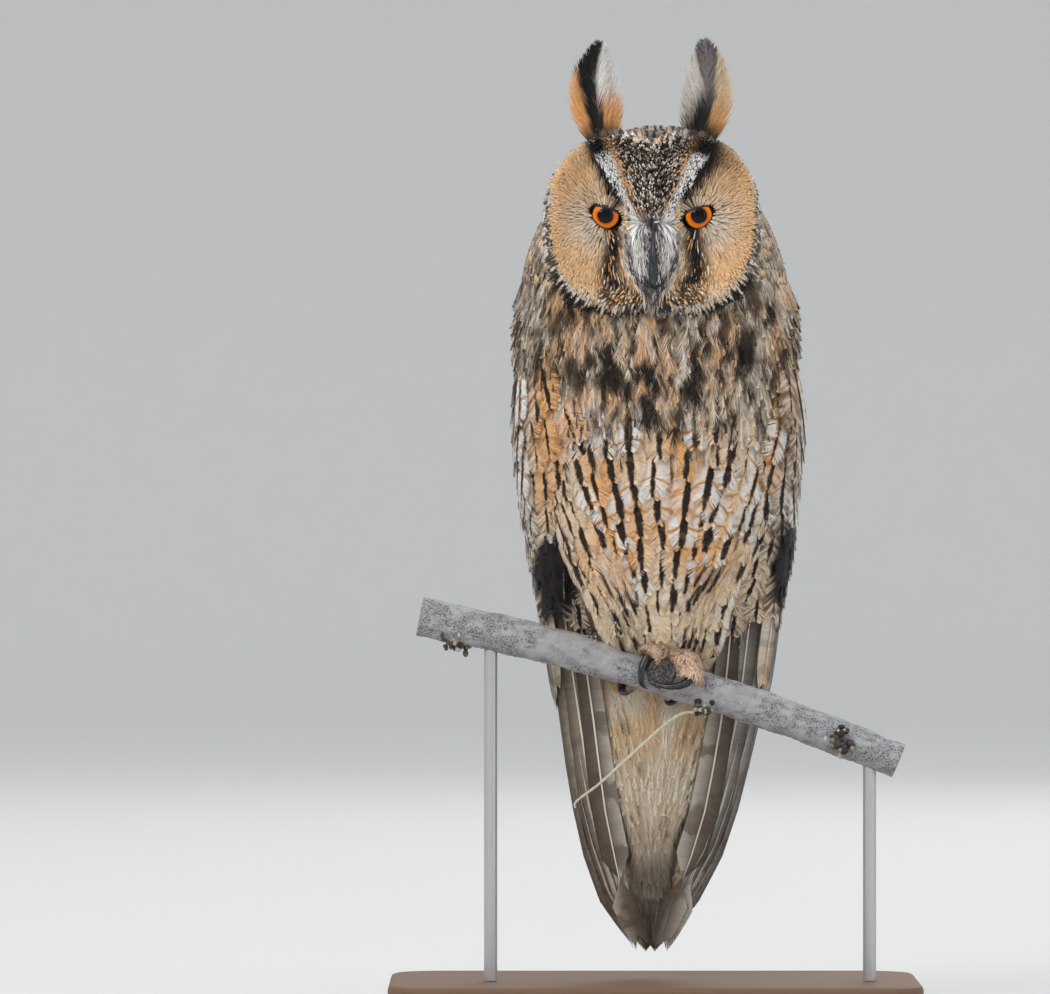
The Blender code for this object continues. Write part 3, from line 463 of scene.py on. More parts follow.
# Height, angle of the front edge of the right wing and of the left wing, and of the back edge
wingEdges = np.array((
    (0.308, 60, 68, 156), (0.296, 50, 62, 163), (0.280, 38, 54, 170), (0.262, 29, 50, 173),
    (0.244, 23, 44, 174), (0.218, 27, 38, 174), (0.185, 36, 29, 174), (0.165, 35, 28, 174),
    (0.148, 34, 28, 174), (0.120, 32, 29, 173), (0.085, 30, 29, 172), (0.051, 24, 24, 166),
    (0.026, 21, 21, 158),
))[::-1]
sectionPower = 2.25
bodySteps = np.hypot(np.diff(bodyStations[:, 0]), np.diff(bodyStations[:, 1]))
bodyRun = np.concatenate(([0.0], np.cumsum(bodySteps)))
bodyEnd = bodyRun[-1]


# A section is a rounded box: half width times sin, half depth times cos, each to the power 2 / sectionPower
def sectionRing(turn, half, middle, front, back, z):
    power = 2.0 / sectionPower
    x = middle + half * np.sign(np.sin(turn)) * np.abs(np.sin(turn)) ** power
    y = (front + back) / 2 - (back - front) / 2 * np.sign(np.cos(turn)) * np.abs(np.cos(turn)) ** power
    return beside(x, y, z)


# The body by the turn from straight ahead and the run down from the crown
def bodySurface(turn, run):
    z, half, middle, front, back = (smoothRow(run, bodyRun, bodyStations[:, k]) for k in range(5))
    return sectionRing(turn, half, middle, front, back, z)


def runAt(height):
    return np.interp(-height, -bodyStations[:, 0], bodyRun)


def heightAt(run):
    return np.interp(run, bodyRun, bodyStations[:, 0])


# Wings and tail by the turn from straight ahead and the height, sunk below the feathers' outside
def sectionSurface(stations, turn, z, sunk=0.0):
    half, middle, front, back = (smoothRow(z, stations[:, 0], stations[:, k]) for k in range(1, 5))
    return sectionRing(turn, half - sunk, middle, front + sunk, back - sunk, z)


# The wing by its side, the share of the way from its front edge to its back edge, and the height
def wingSurface(side, share, z, sunk=0.0):
    front = smoothRow(z, wingEdges[:, 0], wingEdges[:, 1 if side < 0 else 2])
    back = smoothRow(z, wingEdges[:, 0], wingEdges[:, 3])
    return sectionSurface(wingStations, side * np.radians(front + (back - front) * share), z, sunk)


# Outward normals of a surface of two parameters, from the difference of near points
def surfaceNormals(surface, first, second):
    along = surface(first + 0.01, second) - surface(first - 0.01, second)
    down = surface(first, second + 0.0006) - surface(first, second - 0.0006)
    return unit(np.cross(down, along))


def ringLength(ring):
    return np.linalg.norm(np.diff(ring, axis=0), axis=1).sum()


# Half width along a vane: it opens from the root, is widest at peak and closes round the tip
def vaneOutline(t, shape):
    opening = np.clip(t / shape["peak"], 0.0, 1.0) ** shape.get("rise", 0.5)
    closing = np.clip((t - shape["peak"]) / (1.02 - shape["peak"]), 0.0, 1.0) ** shape["tipPower"]
    return opening * (1.0 - closing) ** shape["tipRound"]


# Values of a row of samples at shares t, by straight lines between them
def alongRow(samples, t):
    last = samples.shape[1] - 1
    place = np.clip(t, 0.0, 1.0) * last
    k = np.minimum(place.astype(int), last - 1)
    mix = (place - k)[..., None]
    row = np.arange(len(samples))[:, None]
    return samples[row, k] * (1 - mix) + samples[row, k + 1] * mix


# Each feather is a comb of barbs. A barb leaves the shaft at share t, sweeps toward the tip and ends on
# the outline at share t + sweep; it keeps its width to the share "firm" of its length, then runs to a point.
# A point of the vane is spine(t) + side * u * half + normal * (tilt * u - camber * half * u^2).
# Patch is the size of a feather's place in the baked picture
def buildFeathers(name, spine, normal, half, shape, finish, tint, mark, bakePlace, tilt=0.0):
    count = len(spine)
    along = np.gradient(spine, axis=1)
    side = unit(np.cross(along, normal))
    normal = unit(np.cross(side, along))
    barbs, firm, loose = shape["barbs"], shape["firm"], shape["loose"]
    bare = 0.02
    spacing = (0.96 - bare) / barbs
    root = np.repeat(bare + (np.arange(barbs) + 0.5)[None] * spacing, count, 0)
    wide = spacing * 0.62
    t = []
    u = []
    for hand in (1, -1):
        luck = chance.normal(0.0, 1.0, (count, barbs))
        end = root + shape["sweep"] * (1 + luck * loose)
        end = np.minimum(end, 0.995 + 0.2 * min(loose, 0.1) * luck)
        reach = vaneOutline(np.clip(end, 0, 1), shape) * (1 + loose * chance.normal(0.0, 1.0, (count, barbs)))
        bend = root + (end - root) * firm
        t.append(beside(root - wide, root + wide, bend - wide * 0.95, bend + wide * 0.95, end))
        u.append(hand * reach[..., None] * np.array((0.0, 0.0, firm, firm, 1.0)))
    t = np.concatenate(t, 1)
    u = np.concatenate(u, 1).reshape(count, -1)
    lift = np.zeros(t.shape)
    lift[..., 4] = shape.get("fluff", 0.0) * chance.normal(0.4, 1.0, t.shape[:2])
    t = t.reshape(count, -1)
    half = np.broadcast_to(half, (count,))[:, None]
    bend = tilt * u - shape["camber"] * half * u * u + lift.reshape(count, -1)
    points = alongRow(spine, t) + alongRow(side, t) * (u * half)[..., None]
    points = points + alongRow(normal, t) * bend[..., None]
    corner = np.arange(2 * barbs)[:, None] * 5
    left = np.arange(2 * barbs)[:, None] < barbs
    shift = (np.arange(count) * 10 * barbs)[:, None, None]
    faces = []
    for face in (np.array((0, 2, 3, 1)), np.array((2, 4, 3))):
        faces.append((corner + np.where(left, face, face[::-1]) + shift).reshape(-1, len(face)))
    vane = beside(u.ravel() * 0.5 + 0.5, t.ravel())
    bake = np.repeat(bakePlace, 10 * barbs, 0) + np.array(shape.get("patch", (0.003, 0.003))) * (vane - 0.5)
    if callable(tint):
        colours = tint(points, u, t)
    else:
        colours = np.repeat(np.broadcast_to(tint, (count, 3)), 10 * barbs, 0)
    seeds = np.repeat(luckOf(count), 10 * barbs)
    made = meshFrom(name, points.reshape(-1, 3), faces, {"OFBake": bake, "vane": vane},
                    {"tint": colours.reshape(-1, 3), "mark": np.repeat(mark, 10 * barbs, 0)}, {"seed": seeds})
    return finishPiece(made, finish, "plumage")


# A coat in several pieces, each with the feathers that its mask picks
def buildCoat(name, parts, spine, normal, half, shape, finish, tint, mark, place):
    half = np.broadcast_to(half, len(spine))
    for part, own in parts.items():
        buildFeathers(name + part, spine[own], normal[own], half[own], shape, finish, tint, mark[own],
                      place[own])


# Wisps are strips that taper to a point along their path, one quad wide
def buildWisps(name, path, normal, width, tint, finish, bake, slot="plumage"):
    count, steps, _ = path.shape
    side = unit(np.cross(np.gradient(path, axis=1), normal))
    t = np.linspace(0, 1, steps)
    taper = np.interp(t, (0, 0.35, 0.8, 1.0), (0.6, 1.0, 0.7, 0.0))
    reach = side * (np.broadcast_to(width, (count,))[:, None] / 2 * taper)[..., None]
    body = np.stack((path - reach, path + reach), 2)[:, :-1].reshape(count, -1, 3)
    points = np.concatenate((body, path[:, -1:]), 1)
    each = points.shape[1]
    shift = (np.arange(count) * each)[:, None, None]
    quads = np.arange(steps - 2)[:, None] * 2 + np.array((0, 1, 3, 2))
    tips = np.array(((each - 3, each - 2, each - 1),))
    faces = [(quads + shift).reshape(-1, 4), (tips + shift).reshape(-1, 3)]
    row = np.concatenate((np.repeat(t[:-1], 2), (1.0,)))
    across = np.concatenate((np.tile((0.0, 1.0), steps - 1), (0.5,)))
    vane = beside(np.tile(across, count), np.tile(row, count))
    tints = np.repeat(np.broadcast_to(tint, (count, 3)), each, 0)
    made = meshFrom(name, points.reshape(-1, 3), faces,
                    {"OFBake": np.repeat(bake, each, 0) + 0.003 * (vane - 0.5), "vane": vane},
                    {"tint": tints, "mark": np.zeros((count * each, 3))},
                    {"seed": np.repeat(luckOf(count), each)})
    return finishPiece(made, finish, slot)


# Roots in staggered rows: run down the body and turn round it
def scatterBody(top, bottom, rowStep, spacing, fromTurn, toTurn):
    uneven = 0.18
    turns = []
    runs = []
    for row, run in enumerate(np.arange(runAt(top), runAt(bottom), rowStep)):
        ring = bodySurface(np.linspace(fromTurn, toTurn, 40), np.full(40, run))
        count = max(2, int(ringLength(ring) / spacing))
        share = (np.arange(count) + 0.5 * (row % 2) + 0.25) / count
        share = share + chance.normal(0.0, uneven / count, count)
        turns.append(fromTurn + (toTurn - fromTurn) * share)
        runs.append(run + rowStep * uneven * chance.normal(0.0, 1.0, count))
    return np.concatenate(turns), np.concatenate(runs)


# Roots in columns that run down the body, each started a little lower than its neighbour
def columnRoots(own, fromTurn, toTurn):
    step, uneven = own["step"], own["uneven"]
    ring = bodySurface(np.linspace(fromTurn, toTurn, 60), np.full(60, runAt(0.27)))
    count = int(ringLength(ring) / own["spacing"])
    turns = []
    runs = []
    columns = []
    for column in range(count):
        run = np.arange(runAt(own["top"]) + step * ((column * 0.618) % 1.0), runAt(own["bottom"]), step)
        runs.append(run + step * uneven * chance.normal(0, 1, len(run)))
        drift = chance.normal(0, 0.16) + uneven * chance.normal(0, 1, len(run))
        turns.append(fromTurn + (toTurn - fromTurn) * (column + 0.5 + drift) / count)
        columns.append(np.full(len(run), column))
    return np.concatenate(turns), np.concatenate(runs), np.concatenate(columns)


# Share of its turn that a column keeps at a run: the belly's columns close in on the feet
def gather(run):
    return 1 - 0.60 * eased(heightAt(run), 0.275, 0.160)


samples = np.linspace(0.0, 1.0, 9)


# Spines laid on the body: root sunk by depth, tip raised by rise and leant sideways
def bodySpines(turn, run, length, depth, rise, gathering=None, lean=0.0):
    t = samples[None, :]
    length, rise, lean = (np.broadcast_to(value, turn.shape)[:, None] for value in (length, rise, lean))
    runs = np.minimum(run[:, None] + length * t, bodyEnd)
    turns = turn[:, None] + lean * t
    if gathering:
        turns = turns * gathering(runs)
    normal = surfaceNormals(bodySurface, turns, runs)
    return bodySurface(turns, runs) + normal * (rise * t - depth * (1 - t) ** 1.1)[..., None], normal


# Spines that leave a root along a direction, rise by lift and bend back toward the skin by bow
def freeSpines(root, normal, direction, length, lift, bow):
    direction = unit(direction - normal * (direction * normal).sum(-1, keepdims=True))
    t = samples[None, :, None]
    length, lift, bow = (np.broadcast_to(value, (len(root),))[:, None, None] for value in (length, lift, bow))
    spine = root[:, None] + direction[:, None] * length * t
    spine = spine + normal[:, None] * length * (lift * t - bow * t * t)
    return spine, np.repeat(normal[:, None], len(samples), 1)


# Place of a root on the unwrap of the body, cut down the back
def bakePlaceBody(turn, run):
    return beside(0.01 + 0.98 * ((turn / (2 * math.pi) + 0.5) % 1.0), 0.01 + 0.98 * run / bodyEnd)


# Streaks and blotches of the soft upper breast and neck, drawn out downward: fine above, broad and black
# below, on buff, cream and grey
def softTint(points, *vane):
    x, y, z = np.moveaxis(points, -1, 0)
    around = np.arctan2(x, -y) * 0.055
    wave = around + 0.0016 * np.sin(z * 420 + around * 160)
    z = z + 0.016 * (cloud(around, 0 * z, 0.0046, 1.0, 17) - 0.5)
    tint = mixTint(plume.cream, plume.orange, eased(cloud(wave, z, 0.0075, 0.017, 3), 0.30, 0.75) * 0.62)
    tint = mixTint(tint, plume.white, eased(cloud(wave, z, 0.0022, 0.010, 15), 0.60, 0.80) * 0.6)
    tint = mixTint(tint, plume.grey, eased(cloud(wave, z, 0.0026, 0.010, 4), 0.62, 0.85) * 0.6)
    low = 1 - eased(z, 0.292, 0.312)
    fine = cloud(wave, z, 0.0021, 0.0085, 5) + 0.2 * (cloud(wave, z, 0.0009, 0.004, 6) - 0.5)
    broad = cloud(wave, z, 0.0044, 0.0115, 16) + 0.25 * (cloud(wave, z, 0.0014, 0.005, 6) - 0.5)
    broad = broad + 0.03 * np.exp(-((z - 0.279) / 0.016) ** 2)
    dark = np.maximum(eased(fine, 0.53, 0.72) * (0.90 - 0.2 * low),
                      eased(broad, 0.55, 0.70) * (0.60 + 0.40 * low))
    tint = mixTint(tint, plume.brown, eased(dark, 0.05, 0.45) * 0.75)
    tint = mixTint(tint, plume.black, eased(dark, 0.35, 0.85) * 0.95)
    return tint * (0.88 + 0.24 * luckOf(x.shape))[..., None]


# Ground of the belly: orange-buff clouds on cream, whiter at the sides and buff above the feet
def bellyTint(points, *vane):
    x, z = points[..., 0], points[..., 2]
    warm = eased(cloud(x, z, 0.012, 0.020, 7), 0.30, 0.70)
    tint = mixTint(plume.cream, plume.orange, 0.30 + 0.65 * warm)
    tint = mixTint(tint, tone(216, 196, 168), 0.7 * eased(np.abs(x), 0.024, 0.040))
    tint = mixTint(tint, tone(228, 204, 172), eased(z, 0.205, 0.180))
    return tint * (0.95 + 0.10 * luckOf(x.shape))[..., None]


breast = {
    "top": 0.300, "bottom": 0.184, "reachDegrees": 98.0, "step": 0.0140, "spacing": 0.0108, "uneven": 0.07,
    "length": 0.042, "half": 0.0076,
    "shape": {"barbs": 96, "firm": 0.86, "sweep": 0.13, "peak": 0.64, "rise": 0.4, "tipPower": 3.0,
              "tipRound": 0.6, "loose": 0.03, "fluff": 0.00008, "camber": 0.13, "patch": (0.010, 0.010)},
    "flankShape": {"barbs": 80, "firm": 0.55, "sweep": 0.26, "peak": 0.6, "tipPower": 2.0, "tipRound": 0.8,
                   "loose": 0.08, "fluff": 0.0003, "camber": 0.12, "patch": (0.010, 0.010)},
    "softShape": {"barbs": 26, "firm": 0.35, "sweep": 0.42, "peak": 0.55, "tipPower": 1.8, "tipRound": 0.9,
                  "loose": 0.20, "fluff": 0.0005, "camber": 0.10},
    "finish": {"streakSoft": 0.06, "streakStart": 0.0, "barCount": 4.6, "barWidth": 0.022, "barSweep": 0.10,
               "fleck": 0.16, "barbCount": 96.0, "rootColour": plume.cream, "streakColour": tone(34, 25, 21),
               "barColour": tone(126, 90, 58)},
    "softFinish": {"fleck": 0.0, "barbCount": 26.0, "rootColour": plume.cream},
}


def buildBreast():
    reach = math.radians(breast["reachDegrees"])
    turn, run, column = columnRoots(breast, -reach, reach)
    z = heightAt(run)
    count = len(turn)
    length = breast["length"] * (1 - 0.25 * eased(z, 0.205, 0.184)) * (0.92 + 0.16 * luckOf(count))
    half = breast["half"] * (1 - 0.22 * eased(z, 0.25, 0.185))
    rise = 0.0004 + 0.0010 * luckOf(count)
    spine, normal = bodySpines(turn, run, length, 0.0056, rise, gather, chance.normal(0, 0.02, count))
    luck, other = luckOf(count), luckOf(count)
    strong = np.where(luckOf(count) > 0.30, 1 - eased(z, 0.226, 0.200), 1.0)
    own = luckOf(column.max() + 1)[column]
    streak = np.where(own > 0.12, 0.15 + 0.13 * own + 0.10 * (luck - 0.5), 0.05 * luck)
    mark = beside(streak * strong, (0.25 + 0.60 * other) * strong, np.clip(1.5 * other - 0.25, 0, 1) * strong)
    streaked = plumageMaterial("breastPlumage", 0.78, 0.05, **breast["finish"])
    buildCoat("breastFeathers", {"Left": turn > 0, "Right": turn <= 0}, spine, normal, half, breast["shape"],
              streaked, bellyTint, mark, bakePlaceBody(turn, run))
    # Flank feathers: long and loose, they sweep in from the sides over the legs
    side, row = np.repeat((-1, 1), 5)[:, None], np.tile(np.arange(5), 2)[:, None]
    turn = (side * np.radians(np.linspace(60, 94, 5) + 3 * (row % 2))).ravel()
    run = (runAt(0.236 - 0.0085 * row) + chance.normal(0, 0.001, (10, 5))).ravel()
    length = 0.046 + 0.006 * luckOf(50)
    lean = -np.sign(turn) * (0.50 + 0.15 * luckOf(50))
    spine, normal = bodySpines(turn, run, length, 0.0050, 0.0020, gather, lean)
    mark = beside(0.24 * (luckOf(50) > 0.6), 0.3 * luckOf(50), 0.8 * luckOf(50))
    buildFeathers("flankFeathers", spine, normal, 0.0052, breast["flankShape"], streaked, bellyTint, mark,
                  bakePlaceBody(turn, run))
    # Soft feathers of throat and upper breast
    turn, run = scatterBody(0.336, 0.258, 0.0046, 0.0050, -reach, reach)
    keep = luckOf(len(run)) < 1.15 - eased(heightAt(run), 0.285, 0.258)
    turn, run = turn[keep], run[keep]
    spine, normal = bodySpines(turn, run, 0.019, 0.0036, 0.0008 + 0.0014 * luckOf(len(turn)), gather)
    buildCoat("throatFeathers", {"Left": turn > 0, "Right": turn <= 0}, spine, normal, 0.0038,
              breast["softShape"],
              plumageMaterial("softPlumage", **breast["softFinish"]), softTint, np.zeros((len(turn), 3)),
              bakePlaceBody(turn, run))


def nearSpot(x, z, place, across, up):
    return np.exp(-((x - place[0]) / across) ** 2 - ((z - place[1]) / up) ** 2)


# Wing colours by place: orange-buff in front, mottled grey and buff behind, with the dark and orange
# patches at the bend of the folded primaries
def wingTint(points, *vane):
    x, y, z = np.moveaxis(points, -1, 0)
    around = np.arctan2(x, -y) * 0.055
    luck = luckOf(x.shape)
    warm = eased(cloud(around, z, 0.012, 0.020, 11), 0.35, 0.75)
    front = eased(-y, -0.006, 0.016)
    tint = mixTint(tone(172, 156, 136), plume.orange, 0.25 + 0.55 * warm)
    tint = mixTint(tint, plume.orange, 0.80 * front * eased(z, 0.212, 0.240))
    tint = mixTint(tint, plume.cream, 0.55 * (1 - eased(z, 0.216, 0.238)))
    fine = cloud(around, z, 0.0016, 0.0013, 12)
    mottled = 0.30 + 0.45 * (1 - eased(z, 0.225, 0.250)) + 0.35 * (1 - front)
    tint = mixTint(tint, plume.dark, eased(fine, 0.55, 0.70) * mottled)
    edge = 0.65 * eased(np.abs(x), 0.0505, 0.0570) * eased(-y, -0.020, -0.005)
    tint = mixTint(tint, np.where((fine > 0.52)[..., None], tone(60, 50, 44), tone(206, 200, 192)), edge)
    right = nearSpot(x, z, (-0.0450, 0.1950), 0.0100, 0.0190)
    left = nearSpot(x, z, (0.0610, 0.1990), 0.0080, 0.0190)
    dark = np.where(x < 0, right, left) * eased(-y, -0.012, 0.0) * 1.5
    tint = mixTint(tint, plume.black, eased(dark + 0.15 * (fine - 0.5), 0.35, 0.55))
    return tint * (0.88 + 0.24 * luck)[..., None]


back = {
    "top": 0.345, "bottom": 0.170, "step": 0.0085, "spacing": 0.0086, "degrees": (84, 276), "half": 0.0066,
    "shape": {"barbs": 48, "firm": 0.75, "sweep": 0.15, "peak": 0.62, "rise": 0.4, "tipPower": 2.8,
              "tipRound": 0.6, "loose": 0.07, "fluff": 0.0003, "camber": 0.16},
    "finish": {"streakSoft": 0.06, "streakStart": 0.1, "barCount": 4.0, "fleck": 0.6, "barWidth": 0.03,
               "barbCount": 48.0, "rootColour": plume.buff},
}


# Feathers of nape and back, from one side of the neck round to the other
def buildBack():
    turn, run = scatterBody(back["top"], back["bottom"], back["step"], back["spacing"],
                            *np.radians(back["degrees"]))
    length = 0.030 + 0.006 * eased(heightAt(run), 0.30, 0.2)
    spine, normal = bodySpines(turn, run, length, 0.0050, 0.0014)
    luck, other = luckOf(len(turn)), luckOf(len(turn))
    buildCoat("backFeathers", {"Left": turn < math.pi, "Right": turn >= math.pi}, spine, normal, back["half"],
              back["shape"], plumageMaterial("backPlumage", **back["finish"]), wingTint,
              beside(0.13 + 0.20 * luck, 0.35 * other, 0.5), bakePlaceBody(turn, run))


# Share is the way from the wing's front edge to its back edge. Tips holds the height of the tips by share
wing = {
    "primaries": {"count": 11, "from": 0.0, "root": 0.192, "sunk": (0.0052, 0.0014), "tilt": 0.0011,
                  "tips": ((0.0, 0.0285), (0.16, 0.0262), (0.36, 0.0300), (0.50, 0.0370), (0.64, 0.0490),
                           (0.79, 0.0670), (1.0, 0.0900))},
    "secondaries": {"count": 11, "from": 0.24, "root": 0.226, "sunk": (0.0042, 0.0004), "tilt": 0.0008,
                    "tips": ((0.2, 0.150), (0.4, 0.136), (0.6, 0.132), (0.8, 0.134), (1.0, 0.142))},
    "coverts": {"top": 0.3045, "bottom": 0.204, "step": 0.0125, "spacing": 0.0118, "length": 0.034,
                "half": 0.0078},
    "flightShape": {"barbs": 130, "firm": 0.97, "sweep": 0.035, "peak": 0.60, "rise": 0.25, "tipPower": 4.0,
                    "tipRound": 0.55, "loose": 0.006, "camber": 0.05, "patch": (0.05, 0.90)},
    "covertShape": {"barbs": 76, "firm": 0.82, "sweep": 0.12, "peak": 0.66, "rise": 0.4, "tipPower": 3.2,
                    "tipRound": 0.55, "loose": 0.04, "fluff": 0.0002, "camber": 0.14,
                    "patch": (0.010, 0.010)},
    "flightFinish": {"streakSoft": 0.02, "barCount": 5.5, "barWidth": 0.14, "barSweep": 0.012, "fleck": 0.10,
                     "barbCount": 170.0, "rootColour": tone(74, 62, 54), "barColour": tone(84, 70, 60)},
    "covertFinish": {"streakSoft": 0.05, "streakStart": 0.0, "barCount": 3.4, "barWidth": 0.02, "fleck": 0.20,
                     "barbCount": 76.0, "rootColour": plume.orange, "barColour": plume.brown},
    "shaftFinish": {"fleck": 0.0, "barbCount": 3.0, "rootShade": 0.0},
    "shaft": tone(214, 206, 190),
}


# Spines down the wing from rootZ to tipZ, sunk in it by depths at root and tip
def wingSpines(side, share, rootZ, tipZ, sunkRoot, sunkTip, shareDrift=0.0):
    t = samples[None, :]
    z = rootZ[:, None] + (tipZ - rootZ)[:, None] * t
    shares = np.clip(share[:, None] + np.broadcast_to(shareDrift, share.shape)[:, None] * t, -0.02, 1.02)
    sunk = (sunkRoot + (sunkTip - sunkRoot) * t ** 0.8) * np.interp(z, (0.022, 0.060), (0.34, 1.0))
    base = wingSurface(side, shares, z)
    normal = surfaceNormals(partial(wingSurface, side), shares, z)
    outward = base - np.array((0.002, 0.0, 0.0))
    outward[..., 2] = 0
    normal = normal * np.where((normal * outward).sum(-1, keepdims=True) < 0, -1, 1)
    return base - normal * sunk[..., None], normal


def wingWidth(side, z):
    return ringLength(wingSurface(side, np.linspace(0, 1, 30), np.full(30, z)))


def wingRoots(side, own):
    count = int(wingWidth(side, 0.27) / own["spacing"])
    shares = []
    roots = []
    for column in range(count):
        z = np.arange(own["top"] - own["step"] * ((column * 0.618) % 1.0), own["bottom"], -own["step"])
        roots.append(z + own["step"] * 0.10 * chance.normal(0, 1, len(z)))
        shares.append((column + 0.5 + 0.10 * chance.normal(0, 1, len(z))) / count)
    return np.concatenate(shares), np.concatenate(roots)


def buildWing(side):
    hand = "Left" if side > 0 else "Right"
    barred = plumageMaterial("flightPlumage" + hand, 0.6, 0.2, **wing["flightFinish"])
    shafts = []
    for name in ("primaries", "secondaries"):
        tier = wing[name]
        share = tier["from"] + (1 - tier["from"]) * (np.arange(tier["count"]) + 0.5) / tier["count"]
        tips = np.interp(share, *np.array(tier["tips"]).T)
        spine, normal = wingSpines(side, share, np.full(len(share), tier["root"]), tips, *tier["sunk"])
        half = wingWidth(side, 0.15) * (1 - tier["from"]) / tier["count"] * 0.86
        pale = tone(196, 190, 182) if side > 0 else tone(170, 154, 136)
        ground = mixTint(tone(112, 98, 86), pale, eased(share, 0.02, 0.20))
        ground = mixTint(ground, tone(190, 150, 108), eased(share, 0.42, 0.60) * 0.7)
        ground = ground * chance.uniform(0.82, 1.12, (len(share), 1))

        # Dark on the inner web and pale on the outer one, with an orange glow at the bend
        def flightTint(points, u, along, ground=ground):
            x, y, z = np.moveaxis(points, -1, 0)
            spot = ((-0.0440, 0.1690), 0.0095, 0.0090) if side < 0 else ((0.0540, 0.1500), 0.0060, 0.0160)
            tint = mixTint(ground[:, None], plume.orange, 0.9 * nearSpot(x, z, *spot) * (y < 0.004))
            toFront = np.clip(side * u, -1, 1)
            tint = mixTint(tint, tone(54, 45, 40), 0.80 * eased(-toFront, 0.0, 0.9) * (along > 0.05))
            tint = mixTint(tint, tone(204, 196, 184), 0.65 * eased(toFront, 0.1, 1.0))
            return tint * (0.95 + 0.10 * luckOf(x.shape))[..., None]

        mark = beside(0, 0.35 + 0.45 * eased(share, 0.40, 0.60) + 0.3 * (share < 0.08), 0)
        buildFeathers(name + hand, spine, normal, half, wing["flightShape"], barred, flightTint, mark,
                      rowOfPlaces(len(share)), tilt=-side * tier["tilt"])
        shafts.append((spine + normal * 0.00045, normal))
    spine, normal = (np.concatenate(part) for part in zip(*shafts))
    pale = plumageMaterial("shaftHorn" + hand, 0.5, 0.0, **wing["shaftFinish"])
    buildWisps("flightShafts" + hand, spine, normal, 0.0009, wing["shaft"], pale,
               rowOfPlaces(len(spine), 0.0))
    own = wing["coverts"]
    share, root = wingRoots(side, own)
    count = len(share)
    length = own["length"] * chance.uniform(0.9, 1.1, count)
    drift = 0.03 * chance.normal(0, 1, count)
    spine, normal = wingSpines(side, share, root, root - length, 0.0050, -0.0004, drift)
    luck, other = luckOf(count), luckOf(count)
    plain = 1 - (share < 0.5) * (root < 0.240)
    mark = beside(0.06 + 0.12 * luck, (0.15 + 0.3 * other) * plain, np.clip(1.6 * other - 0.6, 0, 1) * plain)
    buildCoat("coverts" + hand, {"Front": share < 0.45, "Back": share >= 0.45}, spine, normal, own["half"],
              wing["covertShape"], plumageMaterial("covertPlumage" + hand, **wing["covertFinish"]), wingTint,
              mark, beside((0.52 if side > 0 else 0.02) + 0.44 * share, (0.31 - root) / 0.30))


# Places side by side across the baked picture
def rowOfPlaces(count, inset=0.5):
    return beside(0.05 + 0.9 * (np.arange(count) + inset) / count, 0.5)


# Eleven tail feathers fold under one another toward their tips; soft undertail feathers cover their roots
tail = {
    "count": 11, "top": 0.135, "tip": 0.0252, "middleX": -0.0015, "spread": 0.0031, "frontY": 0.0128,
    "half": 0.0046, "backHalf": 0.0056, "backColour": tone(176, 146, 112), "shaft": tone(196, 186, 170),
    "finish": {"streakSoft": 0.02, "barCount": 5.0, "barWidth": 0.16, "barSweep": 0.012, "fleck": 0.1,
               "barbCount": 110.0, "rootColour": plume.buff, "barColour": tone(62, 50, 42)},
    "underShape": {"barbs": 40, "firm": 0.4, "sweep": 0.38, "peak": 0.5, "tipPower": 2.0, "tipRound": 0.85,
                   "loose": 0.18, "fluff": 0.0005, "camber": 0.12},
    "underFinish": {"streakSoft": 0.10, "streakStart": 0.2, "barbCount": 40.0, "fleck": 0.0,
                    "streakColour": tone(122, 100, 80), "rootColour": plume.cream},
}


def undertailTint(points, *vane):
    x, z = points[..., 0], points[..., 2]
    tint = mixTint(tone(222, 204, 178), tone(224, 190, 148), eased(z, 0.100, 0.140))
    tint = mixTint(tint, tone(232, 220, 202), 0.8 * eased(cloud(x, z, 0.006, 0.020, 41), 0.45, 0.75))
    tint = mixTint(tint, tone(96, 84, 74), (1 - eased(z, 0.060, 0.082)) * 0.85)
    return tint * (0.90 + 0.18 * luckOf(x.shape))[..., None]


